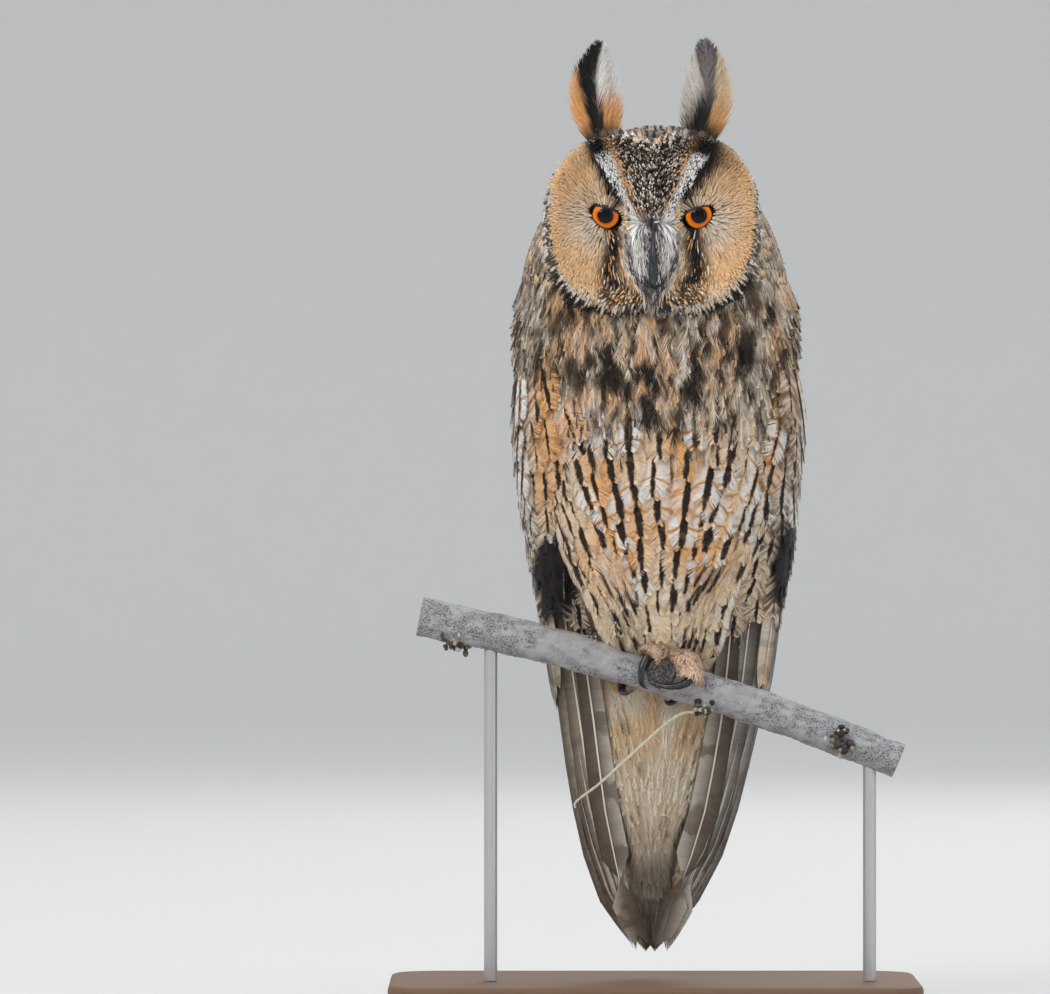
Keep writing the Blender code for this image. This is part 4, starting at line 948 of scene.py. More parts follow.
def buildTail():
    finish = plumageMaterial("tailPlumage", 0.65, 0.2, **tail["finish"])
    number = np.arange(tail["count"]) - tail["count"] // 2
    layer = np.abs(number)
    t = samples[None, :]
    z = tail["top"] + ((tail["tip"] + 0.0012 * layer)[:, None] - tail["top"]) * t
    fold = np.interp(z, (0.028, 0.062, 0.100), (0.30, 0.78, 1.0))
    x = tail["middleX"] + fold * number[:, None] * tail["spread"]
    y = tail["frontY"] - 0.0007 * layer[:, None] - 0.0030 * (1 - t) * (1 - layer[:, None] / 7)
    spine = beside(x, y, z)
    normal = np.broadcast_to(np.array((0.0, -1.0, 0.0)), spine.shape)
    mark = beside(0 * layer, 0.5, 0)
    where = beside(0.5 + number * 0.08, 0.5)
    ground = mixTint(tone(78, 67, 59), tone(140, 128, 116), layer / 5.0)
    shape = wing["flightShape"]
    buildFeathers("tailFeathers", spine, normal, tail["half"], shape, finish, ground, mark, where)
    behind = spine + np.array((0.0, 0.0035, 0.0))
    buildFeathers("tailFeathersBack", behind, -normal, tail["backHalf"], shape, finish, tail["backColour"],
                  mark, where)
    pale = plumageMaterial("tailShaftHorn", 0.5, 0.0, **wing["shaftFinish"])
    buildWisps("tailShafts", spine + normal * 0.0004, normal, 0.0007, tail["shaft"], pale, where)
    rows = []
    for row, height in enumerate(np.arange(0.158, 0.078, -0.0062)):
        count = max(3, int(np.interp(height, tailStations[:, 0], tailStations[:, 1]) * 2.2 / 0.0050))
        degrees = np.linspace(-78, 78, count) + (6 if row % 2 else 0) + chance.normal(0, 3, count)
        rows.append(beside(degrees, height + chance.normal(0, 0.001, count)))
    degrees, height = np.concatenate(rows).T
    z = np.clip(height[:, None] - 0.034 * t, 0.045, 1.0)
    turns = np.radians(degrees)[:, None] * (1 - 0.35 * t)
    base = sectionSurface(tailStations, turns, np.clip(z, 0.0785, 0.149))
    base[..., 0] *= np.interp(z, (0.045, 0.078), (0.35, 1.0))
    base[..., 2] = z
    normal = surfaceNormals(partial(sectionSurface, tailStations), turns, np.clip(z, 0.0795, 0.148))
    outward = beside(np.sin(turns), -np.cos(turns), 0)
    normal = normal * np.sign((normal * outward).sum(-1, keepdims=True))
    luck = luckOf(len(height))
    finish = plumageMaterial("undertailPlumage", **tail["underFinish"])
    buildFeathers("undertailFeathers", base - normal * (0.0030 * (1 - t))[..., None], normal, 0.0060,
                  tail["underShape"], finish, undertailTint, beside(0.10 * (luck > 0.86), 0, 0),
                  beside(0.5 + degrees / 200, 0.1 + height * 4))


face = {"x": -0.0015, "z": 0.3560, "halfWidth": 0.0462, "halfHeight": 0.0405, "power": 2.35, "rimY": -0.0475,
        "middleY": -0.0310, "dip": 0.0050, "ridge": 0.0065, "skinDepth": 0.0018}
eye = {"radius": 0.0084, "leftX": 0.0192, "rightX": -0.0222, "z": 0.3588, "y": -0.0392,
       "upperLid": 0.0029, "lowerLid": 0.0058, "tilt": 0.29, "opening": 0.0069}


# Reach of the facial disc by the angle from straight up: a rounded box, drawn in at brow and chin
def discReach(angle):
    side = np.abs(np.sin(angle)) / face["halfWidth"]
    rise = np.abs(np.cos(angle)) / face["halfHeight"]
    reach = (side ** face["power"] + rise ** face["power"]) ** (-1.0 / face["power"])
    chin = np.exp(-((np.abs(angle) - math.pi) / 0.30) ** 2)
    brow = np.exp(-(angle / 0.32) ** 2)
    return reach - 0.004 * chin - 0.007 * brow


# 0 in the middle of the disc, 1 on its rim
def discShare(x, z):
    x, z = x - face["x"], z - face["z"]
    return np.hypot(x, z) / discReach(np.arctan2(x, z))


# Front of the disc: a dish each side of a ridge from the brow to the bill, with a raised rim
def discFront(x, z):
    share = discShare(x, z)
    dish = face["dip"] * (1.0 - np.clip(share, 0, 1) ** 2.5)
    rim = 0.0016 * np.exp(-((share - 0.93) / 0.07) ** 2)
    along = np.interp(z - face["z"], (-0.034, -0.022, 0.030, 0.040), (0.2, 0.9, 1.0, 0.3))
    ridge = face["ridge"] * np.exp(-((x - face["x"]) / 0.0085) ** 2) * along
    return face["rimY"] + dish - rim - ridge + np.clip(share - 1.0, 0.0, 1.0) * 0.10


# Front of the face with its swollen lids: the disc, or the ball of an eye where that stands out of it
def faceFront(x, z):
    front = discFront(x, z)
    ball = eye["radius"] * 1.072
    for eyeX in (eye["leftX"], eye["rightX"]):
        deep = np.maximum(ball ** 2 - (x - eyeX) ** 2 - (z - eye["z"]) ** 2, 0.0)
        front = np.minimum(front, eye["y"] - np.sqrt(deep))
    return front


def discPoint(x, z):
    return beside(x, faceFront(x, z), z)


def discNormal(x, z):
    reach = 0.0006
    slopeX = (faceFront(x + reach, z) - faceFront(x - reach, z)) / (2 * reach)
    slopeZ = (faceFront(x, z + reach) - faceFront(x, z - reach)) / (2 * reach)
    return unit(beside(slopeX, -1.0, slopeZ))


# Half width of the shield of bristles beside the bill
def shieldWidth(z):
    return np.interp(z, (0.3240, 0.3330, 0.3416, 0.3527, 0.3580), (0.0010, 0.0096, 0.0146, 0.0150, 0.0085))


# Strokes of the face. Rows hold start x and z, end x and z, half width at start and end
faceStrokes = {
    "dusk": ((-0.0195, 0.3515, -0.0212, 0.3345, 0.0030, 0.0044),
             (-0.0205, 0.3345, -0.0108, 0.3285, 0.0042, 0.0016),
             (0.0178, 0.3515, 0.0190, 0.3365, 0.0034, 0.0048),
             (0.0186, 0.3370, 0.0100, 0.3295, 0.0044, 0.0016)),
    "billRoot": ((-0.0085, 0.3545, -0.0065, 0.3425, 0.0030, 0.0030),
                 (0.0050, 0.3545, 0.0042, 0.3425, 0.0030, 0.0030)),
    "black": ((-0.0187, 0.3640, -0.0250, 0.3800, 0.0026, 0.0032),
              (-0.0250, 0.3800, -0.0275, 0.3960, 0.0036, 0.0058),
              (0.0150, 0.3650, 0.0215, 0.3780, 0.0036, 0.0056),
              (0.0215, 0.3780, 0.0240, 0.3960, 0.0056, 0.0078)),
    "brow": ((-0.0084, 0.3540, -0.0150, 0.3655, 0.0019, 0.0028),
             (-0.0150, 0.3655, -0.0222, 0.3832, 0.0028, 0.0038),
             (0.0034, 0.3545, 0.0105, 0.3664, 0.0018, 0.0028),
             (0.0105, 0.3664, 0.0185, 0.3822, 0.0028, 0.0037)),
}


# Nearness to the strokes of one name, 1 on them and 0 beyond their half width
def nearStrokes(x, z, name, soft=0.6):
    best = 0.0
    for startX, startZ, endX, endZ, startWide, endWide in faceStrokes[name]:
        lineX, lineZ = endX - startX, endZ - startZ
        share = np.clip(((x - startX) * lineX + (z - startZ) * lineZ) / (lineX ** 2 + lineZ ** 2), 0, 1)
        gap = np.hypot(x - startX - share * lineX, z - startZ - share * lineZ)
        wide = startWide + (endWide - startWide) * share
        best = np.maximum(best, 1 - eased(gap / wide, 1 - soft, 1 + soft))
    return best


# One of several colours for each number from 0 to 1
def pick(luck, *colours):
    return np.stack(colours)[np.minimum((luck * len(colours)).astype(int), len(colours) - 1)]


# Colours of the face by place, in metres
def faceTint(x, z):
    luck = luckOf(x.shape)
    speck = luckOf(x.shape)
    fromMiddle = np.abs(x - face["x"])
    clouded = 0.85 * eased(cloud(x, z, 0.006, 0.006, 21), 0.3, 0.8) * luck
    tint = mixTint(tone(228, 188, 142), tone(204, 158, 112), clouded)
    tint = mixTint(tint, tone(228, 180, 128), 0.5 * eased(discShare(x, z), 0.45, 0.85))
    for side, eyeX in ((1, eye["leftX"]), (-1, eye["rightX"])):
        ring = nearSpot(x, z, (eyeX + side * 0.003, eye["z"] - 0.002), 0.0115, 0.0100)
        tint = mixTint(tint, tone(208, 196, 180), 0.85 * ring)
        tint = mixTint(tint, plume.cream, 0.9 * nearSpot(x, z, (eyeX + side * 0.008, 0.3215), 0.013, 0.0060))
    tint = mixTint(tint, tone(150, 128, 106), 0.65 * nearSpot(x, z, (-0.033, 0.385), 0.010, 0.008) * luck)
    browned = 0.95 * nearSpot(x, z, (0.028, 0.382), 0.0105, 0.0085) * (0.5 + 0.5 * luck)
    tint = mixTint(tint, plume.brown, browned)
    # Speckled patch of the forehead between the brows, with rusty edges and a rusty foot
    wedge = np.interp(z, (0.3545, 0.3646, 0.3784, 0.3920, 0.4000), (0.0046, 0.0095, 0.0130, 0.0190, 0.0270))
    inside = (1 - eased(fromMiddle - wedge, -0.0010, 0.0010)) * eased(z, 0.3540, 0.3560)
    speckled = pick(speck, plume.black, plume.dark, plume.white, plume.dark, plume.brown, plume.grey,
                    plume.brown, plume.cream)
    speckled = mixTint(speckled, plume.orange, eased(fromMiddle - wedge, -0.0045, -0.0010) * (luck > 0.60))
    speckled = mixTint(speckled, tone(150, 84, 34), (1 - eased(z, 0.3560, 0.3605)) * (luck > 0.2))
    tint = mixTint(tint, speckled, inside)
    # Dark feathers under the inner corner of each eye, with cream and orange shafts
    striped = np.where((speck > 0.86)[..., None], tone(196, 138, 84), plume.black)
    striped = np.where((speck < 0.06)[..., None], plume.cream, striped)
    tint = mixTint(tint, striped, nearStrokes(x, z, "dusk", 0.8))
    # Chin: black, orange and pale streaks fanning out under the bill
    chin = (1 - eased(z, 0.3290, 0.3330)) * (1 - eased(fromMiddle, 0.0200, 0.0275))
    streaks = pick(speck, plume.black, plume.orange, plume.dark, plume.cream, plume.black, plume.brown,
                   plume.brown)
    tint = mixTint(tint, streaks, chin * 0.95)
    # Bristles beside the bill: white by its root, grey with dark streaks lower down, in a shield
    gap = fromMiddle - shieldWidth(z)
    greys = mixTint(tone(140, 136, 134), tone(70, 64, 64), (speck > 0.55) * 0.95)
    greys = mixTint(greys, plume.white, (speck < 0.18) * 0.8)
    tip = nearSpot(x, z, (face["x"], 0.335), 0.0085, 0.0100)
    greys = mixTint(greys, tone(48, 44, 46), tip * (luck > 0.25) * 0.95)
    greys = mixTint(greys, plume.white, 0.9 * nearStrokes(x, z, "billRoot") * (speck > 0.2))
    tint = mixTint(tint, greys, (1 - eased(gap, -0.0016, 0.0008)) * (1 - eased(z, 0.3555, 0.3590)))
    edge = (1 - eased(np.abs(gap), 0.0004, 0.0012)) * (1 - eased(z, 0.346, 0.350))
    tint = mixTint(tint, plume.cream, edge * 0.85)
    # Black strokes from the inner corner of each eye up to the tufts, then the white brows
    tint = mixTint(tint, plume.black, nearStrokes(x, z, "black"))
    white = np.where((speck > 0.86)[..., None], tone(120, 112, 106), tone(240, 238, 236))
    tint = mixTint(tint, white, nearStrokes(x, z, "brow", 0.35))
    return tint * (0.82 + 0.32 * luckOf(x.shape))[..., None]


disc = {"spacing": 0.00070, "length": 0.0072, "width": 0.00075, "billTip": (-0.0012, 0.3255),
        "finish": {"fleck": 0.0, "barbCount": 5.0, "rootShade": 0.0}}


# Which way the face's feathers point: out from the nearer eye, up and out over the forehead, and
# beside the bill down to its tip
def lieOfFace(x, z):
    nearLeft = x > face["x"]
    fromMiddle = np.abs(x - face["x"])
    lie = unit(beside(x - np.where(nearLeft, eye["leftX"], eye["rightX"]), z - eye["z"]))
    rise = beside((x - face["x"]) / 0.016 * np.interp(z, (0.355, 0.395), (0.45, 0.60)), 1.0)
    home = unit(beside(disc["billTip"][0] - x, disc["billTip"][1] - 0.006 - z))
    away = beside(np.where(nearLeft, 1.0, -1.0) * (0.25 + fromMiddle / 0.015), -1.0)
    upper = eased(z, 0.3532, 0.3566)
    browEdge = np.interp(z, (0.355, 0.37, 0.385, 0.40), (0.010, 0.0165, 0.024, 0.032))
    crown = upper * (1 - eased(fromMiddle - browEdge, -0.002, 0.004))
    lores = (1 - eased(fromMiddle - shieldWidth(z), -0.0010, 0.0014)) * (1 - upper)
    chin = (1 - eased(z, 0.327, 0.334)) * (1 - eased(fromMiddle, 0.016, 0.026))
    for way, share in ((away, chin), (rise, crown), (home, lores)):
        lie = lie + (way - lie) * share[..., None]
    parting = np.exp(-((z - 0.3549) / 0.0016) ** 2) * (1 - eased(fromMiddle, 0.010, 0.014))
    return unit(lie + beside(0.35 * (x - face["x"]) / 0.006 * parting, 0.0)), crown, lores


# Reach of an eye's slit from its middle by the direction across (outward 1) and the side, up or down
def slitCurve(across, up):
    closing = (1 - np.abs(across) ** 4) ** 0.5 if up else (1 - np.abs(across) ** 2.2) ** 0.7
    return eye["tilt"] * eye["opening"] * across + (eye["upperLid"] if up else -eye["lowerLid"]) * closing


# Wisps all over the face, but for the slits of the eyes. Each rises from the skin and bends back to it
def buildFace():
    step = disc["spacing"]
    x, z = np.meshgrid(np.arange(-0.050, 0.050, step), np.arange(0.308, 0.400, step))
    x = (x + step * chance.uniform(-0.6, 0.6, x.shape)).ravel() + face["x"]
    z = (z + step * chance.uniform(-0.6, 0.6, z.shape)).ravel()
    share = discShare(x, z)
    gap = np.full(x.shape, 1.0)
    for side, eyeX in ((1, eye["leftX"]), (-1, eye["rightX"])):
        across = side * (x - eyeX) / eye["opening"]
        inner = np.clip(across, -1, 1)
        above = z - eye["z"] - (slitCurve(inner, True) + 0.0008)
        below = slitCurve(inner, False) - 0.0003 - z + eye["z"]
        beyond = np.maximum(above, below)
        gap = np.minimum(gap, np.maximum(beyond, (np.abs(across) - 1.04) * eye["opening"]))
    keep = (share < np.where(z > 0.37, 0.985, 0.945)) & (gap > 0)
    x, z, share, gap = x[keep], z[keep], share[keep], gap[keep]
    lie, crown, lores = lieOfFace(x, z)
    lie = lie + chance.normal(0, 0.10, lie.shape)
    byBill = np.exp(-((np.abs(x - face["x"]) - 0.0026) / 0.0050) ** 2) * lores
    length = disc["length"] * (1 - 0.66 * crown + 0.30 * lores) * (0.75 + 0.5 * luckOf(x.shape))
    length = length * (1 - 0.60 * eased(share, 0.70, 0.93)) * (0.55 + 0.45 * eased(gap, 0.0, 0.004))
    t = np.linspace(0, 1, 5)[None, :]
    pathX = x[:, None] + lie[:, :1] * length[:, None] * t
    pathZ = z[:, None] + lie[:, 1:] * length[:, None] * t
    normal = discNormal(pathX, pathZ)
    lift = (0.0007 + 0.0007 * luckOf(x.shape) + 0.0012 * lores + 0.0034 * byBill)[:, None]
    height = (-0.0010 + (0.0010 + lift) * np.sin(t * math.pi * 0.60)
              + 0.0010 * np.exp(-(gap[:, None] / 0.0030) ** 2))
    width = disc["width"] * (0.7 + 0.6 * luckOf(x.shape)) * (1 + 0.25 * crown)
    finish = plumageMaterial("facePlumage", 0.8, 0.1, **disc["finish"])
    buildWisps("faceDisc", discPoint(pathX, pathZ) + normal * height[..., None], normal, width,
               faceTint(x, z), finish, beside(0.5 + x / 0.11, (z - 0.305) / 0.11))


crownEdge = {
    "shape": {"barbs": 12, "firm": 0.5, "sweep": 0.3, "peak": 0.6, "tipPower": 2.4, "tipRound": 0.7,
              "loose": 0.15, "fluff": 0.0002, "camber": 0.15},
    "finish": {"fleck": 0.6, "barbCount": 12.0, "rootColour": plume.dark},
}


# Short feathers along the top edge of the disc, which hide the feet of the tufts
def buildCrownFringe():
    angle, share = np.meshgrid(np.linspace(-0.70, 0.70, 52), np.linspace(0.84, 0.99, 7), indexing="ij")
    angle = (angle + chance.normal(0, 0.012, angle.shape)).ravel()
    share = share.ravel() - 0.05 * eased(np.abs(angle), 0.50, 0.70)
    reach = discReach(angle) * share
    x, z = face["x"] + reach * np.sin(angle), face["z"] + reach * np.cos(angle)
    deep = 0.5 * (share - 0.84) / 0.16
    direction = beside(0.35 * np.sin(angle), 0.35 + deep, 1.0 - 0.5 * deep)
    normal = unit(beside(0, -1.0, 0.6 + deep))
    root = discPoint(x, z) + beside(0, 0.0012 + 0.010 * deep, 0)
    spine, normals = freeSpines(root, normal, direction, 0.0060 + 0.0030 * luckOf(len(x)), 0.30, 0.42)
    speck = luckOf(x.shape)
    tint = pick(speck, plume.dark, plume.white, plume.brown, plume.black, plume.grey, plume.buff)
    darker = np.where((speck > 0.70)[:, None], plume.brown, plume.black)
    tint = mixTint(tint, darker, eased(np.abs(angle), 0.28, 0.45) * (speck > 0.16))
    buildFeathers("crownFringe", spine, normals, 0.0015, crownEdge["shape"],
                  plumageMaterial("crownPlumage", **crownEdge["finish"]), tint, np.zeros((len(x), 3)),
                  beside(0.5 + x / 0.11, 0.1 + (share - 0.78) * 3.5))


# Rings hold the share of the disc's reach, the length and the half width of the ruff's feathers
ruff = {
    "rings": ((0.945, 0.0032, 0.0006), (0.965, 0.0034, 0.0007), (0.985, 0.0040, 0.0007),
              (1.005, 0.0048, 0.0008), (1.030, 0.0058, 0.0009)),
    "count": 284,
    "shape": {"barbs": 9, "firm": 0.6, "sweep": 0.30, "peak": 0.65, "tipPower": 3.0, "tipRound": 0.6,
              "loose": 0.16, "fluff": 0.0002, "camber": 0.2},
    "finish": {"fleck": 0.9, "barbCount": 9.0, "rootColour": plume.brown},
}


# The dark and pale rim round the face: rings of short feathers that point out and bend back
def buildRuff():
    rows = []
    count = ruff["count"]
    for ring, (share, length, half) in enumerate(ruff["rings"]):
        angle = (np.arange(count) + 0.5 * (ring % 2)) / count * 2 * math.pi - math.pi
        angle = angle + chance.normal(0, 0.008, count)
        reach = discReach(angle) * (share + chance.normal(0, 0.008, count))
        dirX, dirZ = np.sin(angle), np.cos(angle)
        x, z = face["x"] + reach * dirX, face["z"] + reach * dirZ
        low = eased(np.abs(angle), 1.75, 2.15)
        t = samples[None, :]
        out = (length * (0.30 + 0.60 * low) * chance.uniform(0.8, 1.2, count))[:, None] * t
        backward = (0.0008 + 0.0010 * ring + 0.0028 * (1 - low))[:, None] * t + 0.0030 * t * t
        y = discFront(x, z)[:, None] - 0.0010 + 0.0006 * ring + backward
        spine = beside(x[:, None] + dirX[:, None] * out, y, z[:, None] + dirZ[:, None] * out - 0.0008 * t)
        normal = beside(dirX[:, None] * 0.5 + 0 * t, -1.0, dirZ[:, None] * 0.5)
        luck, other = luckOf(count), luckOf(count)
        side = eased(np.abs(angle), 0.75, 1.15)
        tint = mixTint(tone(196, 156, 108), plume.grey, luck)
        tint = mixTint(tint, plume.white, side * (other > 0.35) * 0.95)
        tint = mixTint(tint, plume.black, side * (luck > 0.50) * 0.95)
        under = eased(np.abs(angle), 1.95, 2.10) * (1 - eased(np.abs(angle), 2.72, 2.86))
        tint = mixTint(tint, plume.black if ring > 2 else plume.cream, under * (luck > 0.12))
        rows.append((spine, normal, tint, beside(0.5 + x / 0.12, (z - 0.300) / 0.12), np.full(count, half)))
    spine, normal, tint, bake, half = (np.concatenate(part) for part in zip(*rows))
    buildFeathers("faceRuff", spine, normal, half, ruff["shape"],
                  plumageMaterial("ruffPlumage", **ruff["finish"]), tint, np.zeros((len(half), 3)), bake)


headCoat = {
    "top": 0.4003, "bottom": 0.330, "step": 0.0034, "spacing": 0.0040,
    "shape": {"barbs": 14, "firm": 0.6, "sweep": 0.22, "peak": 0.62, "tipPower": 2.6, "tipRound": 0.65,
              "loose": 0.12, "fluff": 0.0003, "camber": 0.15},
    "finish": {"fleck": 0.85, "barbCount": 14.0, "streakSoft": 0.2, "barCount": 4.0},
}


# Small feathers of crown and sides of the head: they lie back on the crown and fall down its sides
def buildHeadCoat():
    turn, run = scatterBody(headCoat["top"], headCoat["bottom"], headCoat["step"], headCoat["spacing"],
                            -math.pi, math.pi)
    point = bodySurface(turn, run)
    outside = (point[:, 1] >= -0.028) | (discShare(point[:, 0], point[:, 2]) >= 0.93)
    turn, run, point = turn[outside], run[outside], point[outside]
    normal = surfaceNormals(bodySurface, turn, np.maximum(run, 0.0012))
    x, y, z = point.T
    crown = eased(z, 0.372, 0.396)
    want = beside(8.0 * x * (1 - crown), crown + 0.35 * (1 - crown), -0.2 - (1 - crown))
    length = 0.0085 + 0.006 * (1 - crown)
    spine, normals = freeSpines(point - normal * 0.0022, normal, want, length, 0.16,
                                0.12 + 0.5 * length / 0.045)
    luck, other = luckOf(len(x)), luckOf(len(x))
    tint = mixTint(plume.buff, plume.grey, 0.8 * luck)
    tint = mixTint(tint, plume.dark, eased(other, 0.45, 0.95) * 0.75)
    tint = mixTint(tint, plume.black, 0.9 * nearSpot(x, z, (-0.026, 0.389), 0.008, 0.012) * (y < 0.0))
    tint = mixTint(tint, plume.dark, 0.9 * nearSpot(x, z, (0.024, 0.388), 0.011, 0.010) * (y < 0.0))
    buildFeathers("headFeathers", spine, normals, 0.0024 + 0.0012 * (1 - crown), headCoat["shape"],
                  plumageMaterial("headPlumage", **headCoat["finish"]), tint,
                  beside(0.12 + 0.30 * luck, 0.2 * other, 0.4 * luck), bakePlaceBody(turn, run))


# Each tuft by height: middle x, half width, place of its dark stripe across (outer edge 1) and its half width
tufts = {
    "right": ((0.390, -0.0235, 0.0060, 0.00, 0.45), (0.4010, -0.0250, 0.0110, 0.08, 0.34),
              (0.4078, -0.0260, 0.0128, 0.16, 0.32), (0.4197, -0.0272, 0.0112, 0.26, 0.36),
              (0.4289, -0.0264, 0.0088, 0.40, 0.55), (0.4365, -0.0250, 0.0066, 0.35, 0.60),
              (0.4390, -0.0245, 0.0052, 0.30, 0.60)),
    "left": ((0.390, 0.0205, 0.0065, -0.10, 0.60), (0.4010, 0.0222, 0.0110, -0.16, 0.48),
             (0.4078, 0.0231, 0.0124, -0.07, 0.34), (0.4197, 0.0236, 0.0110, 0.08, 0.30),
             (0.4289, 0.0240, 0.0090, 0.00, 0.46), (0.4370, 0.0228, 0.0066, 0.00, 0.80),
             (0.4400, 0.0220, 0.0052, 0.00, 1.00)),
    "rootY": -0.0240, "tipY": -0.0140, "count": 13, "layer": 0.00065,
    "shape": {"barbs": 70, "firm": 0.55, "sweep": 0.20, "peak": 0.60, "tipPower": 3.4, "tipRound": 0.6,
              "loose": 0.14, "fluff": 0.0006, "camber": 0.10, "patch": (0.06, 0.50)},
    "finish": {"fleck": 0.0, "barbCount": 60.0, "rootColour": plume.dark},
}


# A fan of long feathers, the outer ones behind, with colours by height and place across
def buildTuft(name):
    rows = np.array(tufts[name])
    height = rows[:, 0]
    outer = -1.0 if name == "right" else 1.0
    count = tufts["count"]
    t = samples[None, :]
    spread = np.linspace(-1, 1, count)
    spread = spread[np.argsort(np.abs(spread))[::-1]]
    rootZ, tipZ = height[0], height[-1]
    z = rootZ + (tipZ - rootZ) * t * (1 - 0.17 * np.abs(spread) ** 2.2)[:, None]
    x = smoothRow(z, height, rows[:, 1]) + spread[:, None] * smoothRow(z, height, rows[:, 2]) * 0.70
    y = tufts["rootY"] + (tufts["tipY"] - tufts["rootY"]) * t
    y = y - tufts["layer"] * (np.arange(count)[:, None] - count / 2)

    def tuftTint(points, *vane):
        x, z = points[..., 0], points[..., 2]
        rise = (z - rootZ) / (tipZ - rootZ)
        middle, wide, centre, width = (np.interp(z, height, rows[:, k]) for k in range(1, 5))
        luck = luckOf(rise.shape)
        across = outer * (x - middle) / wide + 0.25 * (cloud(x, z, 0.0012, 0.006, 31) - 0.5)
        if name == "right":
            stripe = plume.black
            inside = mixTint(plume.orange, plume.white, eased(rise + 0.10 * luck, 0.42, 0.62))
            outside = mixTint(plume.orange, plume.black, eased(rise, 0.66, 0.76))
        else:
            stripe = mixTint(plume.black, tone(112, 104, 104), eased(rise, 0.30, 0.65))
            inside = mixTint(plume.brown, tone(214, 206, 198), eased(rise + 0.3 * luck, 0.30, 0.62))
            outside = mixTint(plume.orange, tone(224, 200, 166), eased(rise, 0.2, 0.6))
        tint = np.where((across > centre)[..., None], outside, inside)
        tint = mixTint(tint, stripe, 1 - eased(np.abs(across - centre), width - 0.10, width + 0.10))
        tint = mixTint(tint, plume.black, 1 - eased(rise + 0.1 * luck, 0.08, 0.20))
        return tint * (0.82 + 0.3 * luck)[..., None]

    spine = beside(x, y, z)
    finish = plumageMaterial("tuftPlumage" + name.capitalize(), **tufts["finish"])
    normal = np.broadcast_to((0.0, -1.0, -0.1), spine.shape)
    made = buildFeathers("earTuft" + name.capitalize(), spine, normal, 0.0042, tufts["shape"], finish,
                         tuftTint, np.zeros((count, 3)), beside(0.5 + 0.4 * spread, 0.5))
    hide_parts("ear_tuft_" + name)


# Radii are shares of the eyeball's: the pupil's edge, the iris's dark rim
iris = {"pupil": (0.405, 0.43), "rim": (0.64, 0.72), "inner": tone(178, 56, 2), "outer": tone(252, 148, 14),
        "fibre": tone(232, 102, 4), "rimColour": tone(12, 8, 8), "pupilColour": tone(2, 2, 3), "coat": 0.45}


def buildEyeMaterial():
    made, wire, shader = plainMaterial("eyeAmber", iris["fibre"], 0.30, iris["coat"])
    gaze = wire.outputs("ShaderNodeSeparateXYZ", {0: wire.add("ShaderNodeUVMap", uv_map="gaze")})
    around = wire.times(gaze[1], 2 * math.pi)
    swirl = wire.add("ShaderNodeCombineXYZ", {0: wire.math("COSINE", around), 1: wire.math("SINE", around),
                                              2: wire.times(gaze[0], 0.8)})
    fibres = wire.noise(wire.scale(swirl, 9.0), 1.6, 4.0)
    deep = wire.mix(wire.step(gaze[0], 0.40, 0.60), iris["inner"], iris["outer"])
    amber = wire.mix(wire.times(wire.step(fibres, 0.35, 0.65), 0.7), deep, iris["fibre"])
    coloured = wire.mix(wire.step(gaze[0], *iris["rim"]), amber, iris["rimColour"])
    wire.feed(shader["Base Color"], wire.mix(wire.step(gaze[0], *iris["pupil"]), iris["pupilColour"],
                                             coloured))
    shader["Specular IOR Level"].default_value = 0.04
    return made


# The ball by the angle off the gaze and the turn round it; the cornea bulges over the iris
def buildEye(hand, finish):
    x = eye[hand + "X"]
    off, turn = ringGrid(np.linspace(0.0, math.pi, 49), 64)
    radius = eye["radius"] * (1 + 0.045 * (1 - eased(off, 0.45, 0.85)))
    outward = 0.03 if hand == "left" else -0.03
    points = beside(x + radius * (np.sin(off) * np.cos(turn)) + outward * radius * np.cos(off),
                    eye["y"] - radius * np.cos(off), eye["z"] + radius * np.sin(off) * np.sin(turn))
    gaze = beside(np.sin(np.minimum(off, math.pi / 2)), turn / (2 * math.pi)).reshape(-1, 2)
    made = ringMesh("eyeball" + hand.capitalize(), points, True, uvs={"gaze": gaze})
    finishPiece(made, finish, "eye", "eye_" + hand)


# Lids follow the slit between two curves, flat above and round below, drawn to a corner at each end.
# Steps from the slit outward: growth of reach, share of the way to the hidden edge, size of the ball
lids = {
    "steps": ((0.0000, 0.0, 0.99), (0.0001, 0.0, 1.050), (0.0003, 0.0, 1.080), (0.0008, 0.0, 1.085),
              (0.0012, 0.0, 1.055), (0.0012, 0.5, 1.05), (0.0012, 1.0, 1.01)),
    "edge": 0.0080,
}


def buildLids(hand):
    x = eye[hand + "X"]
    outward = 1.0 if hand == "left" else -1.0
    turn = ringAngles(96)
    across = outward * np.cos(turn)
    rise = np.where(np.sin(turn) >= 0, slitCurve(across, True), slitCurve(across, False))
    reach = np.hypot(eye["opening"] * across, rise)
    side, up = outward * eye["opening"] * across / reach, rise / reach
    # The lids are thicker above and at the outer corner. The dark upper band is partly the lid's own dark
    # skin and partly painted shade, standing in for the shadow of the brow over the eye
    thick = 0.50 + 1.10 * np.clip(up, 0, 1) + 1.30 * np.clip(across, 0, 1) ** 3
    rings = []
    for grow, beyond, swell in lids["steps"]:
        radius = reach + grow * thick
        radius = radius + beyond * (np.maximum(radius, lids["edge"]) - radius)
        ball = eye["radius"] * swell
        deep = np.sqrt(np.maximum(ball ** 2 - np.minimum(radius, ball * 0.98) ** 2, 0.0))
        rings.append(beside(x + radius * side, eye["y"] - deep, eye["z"] + radius * up))
    name = "lids" + hand.capitalize()
    finish, wire, shader = plainMaterial(name + "Skin", tone(22, 16, 15), 0.5)
    place = wire.place()
    wire.feed(shader["Base Color"], wire.mix(wire.noise(place, 900.0), tone(8, 7, 7), tone(30, 23, 21)))
    wire.feed(shader["Normal"], wire.bump(wire.noise(place, 1600.0), 0.4, 0.0002))
    finishPiece(ringMesh(name, np.array(rings), True), finish, "plumage")


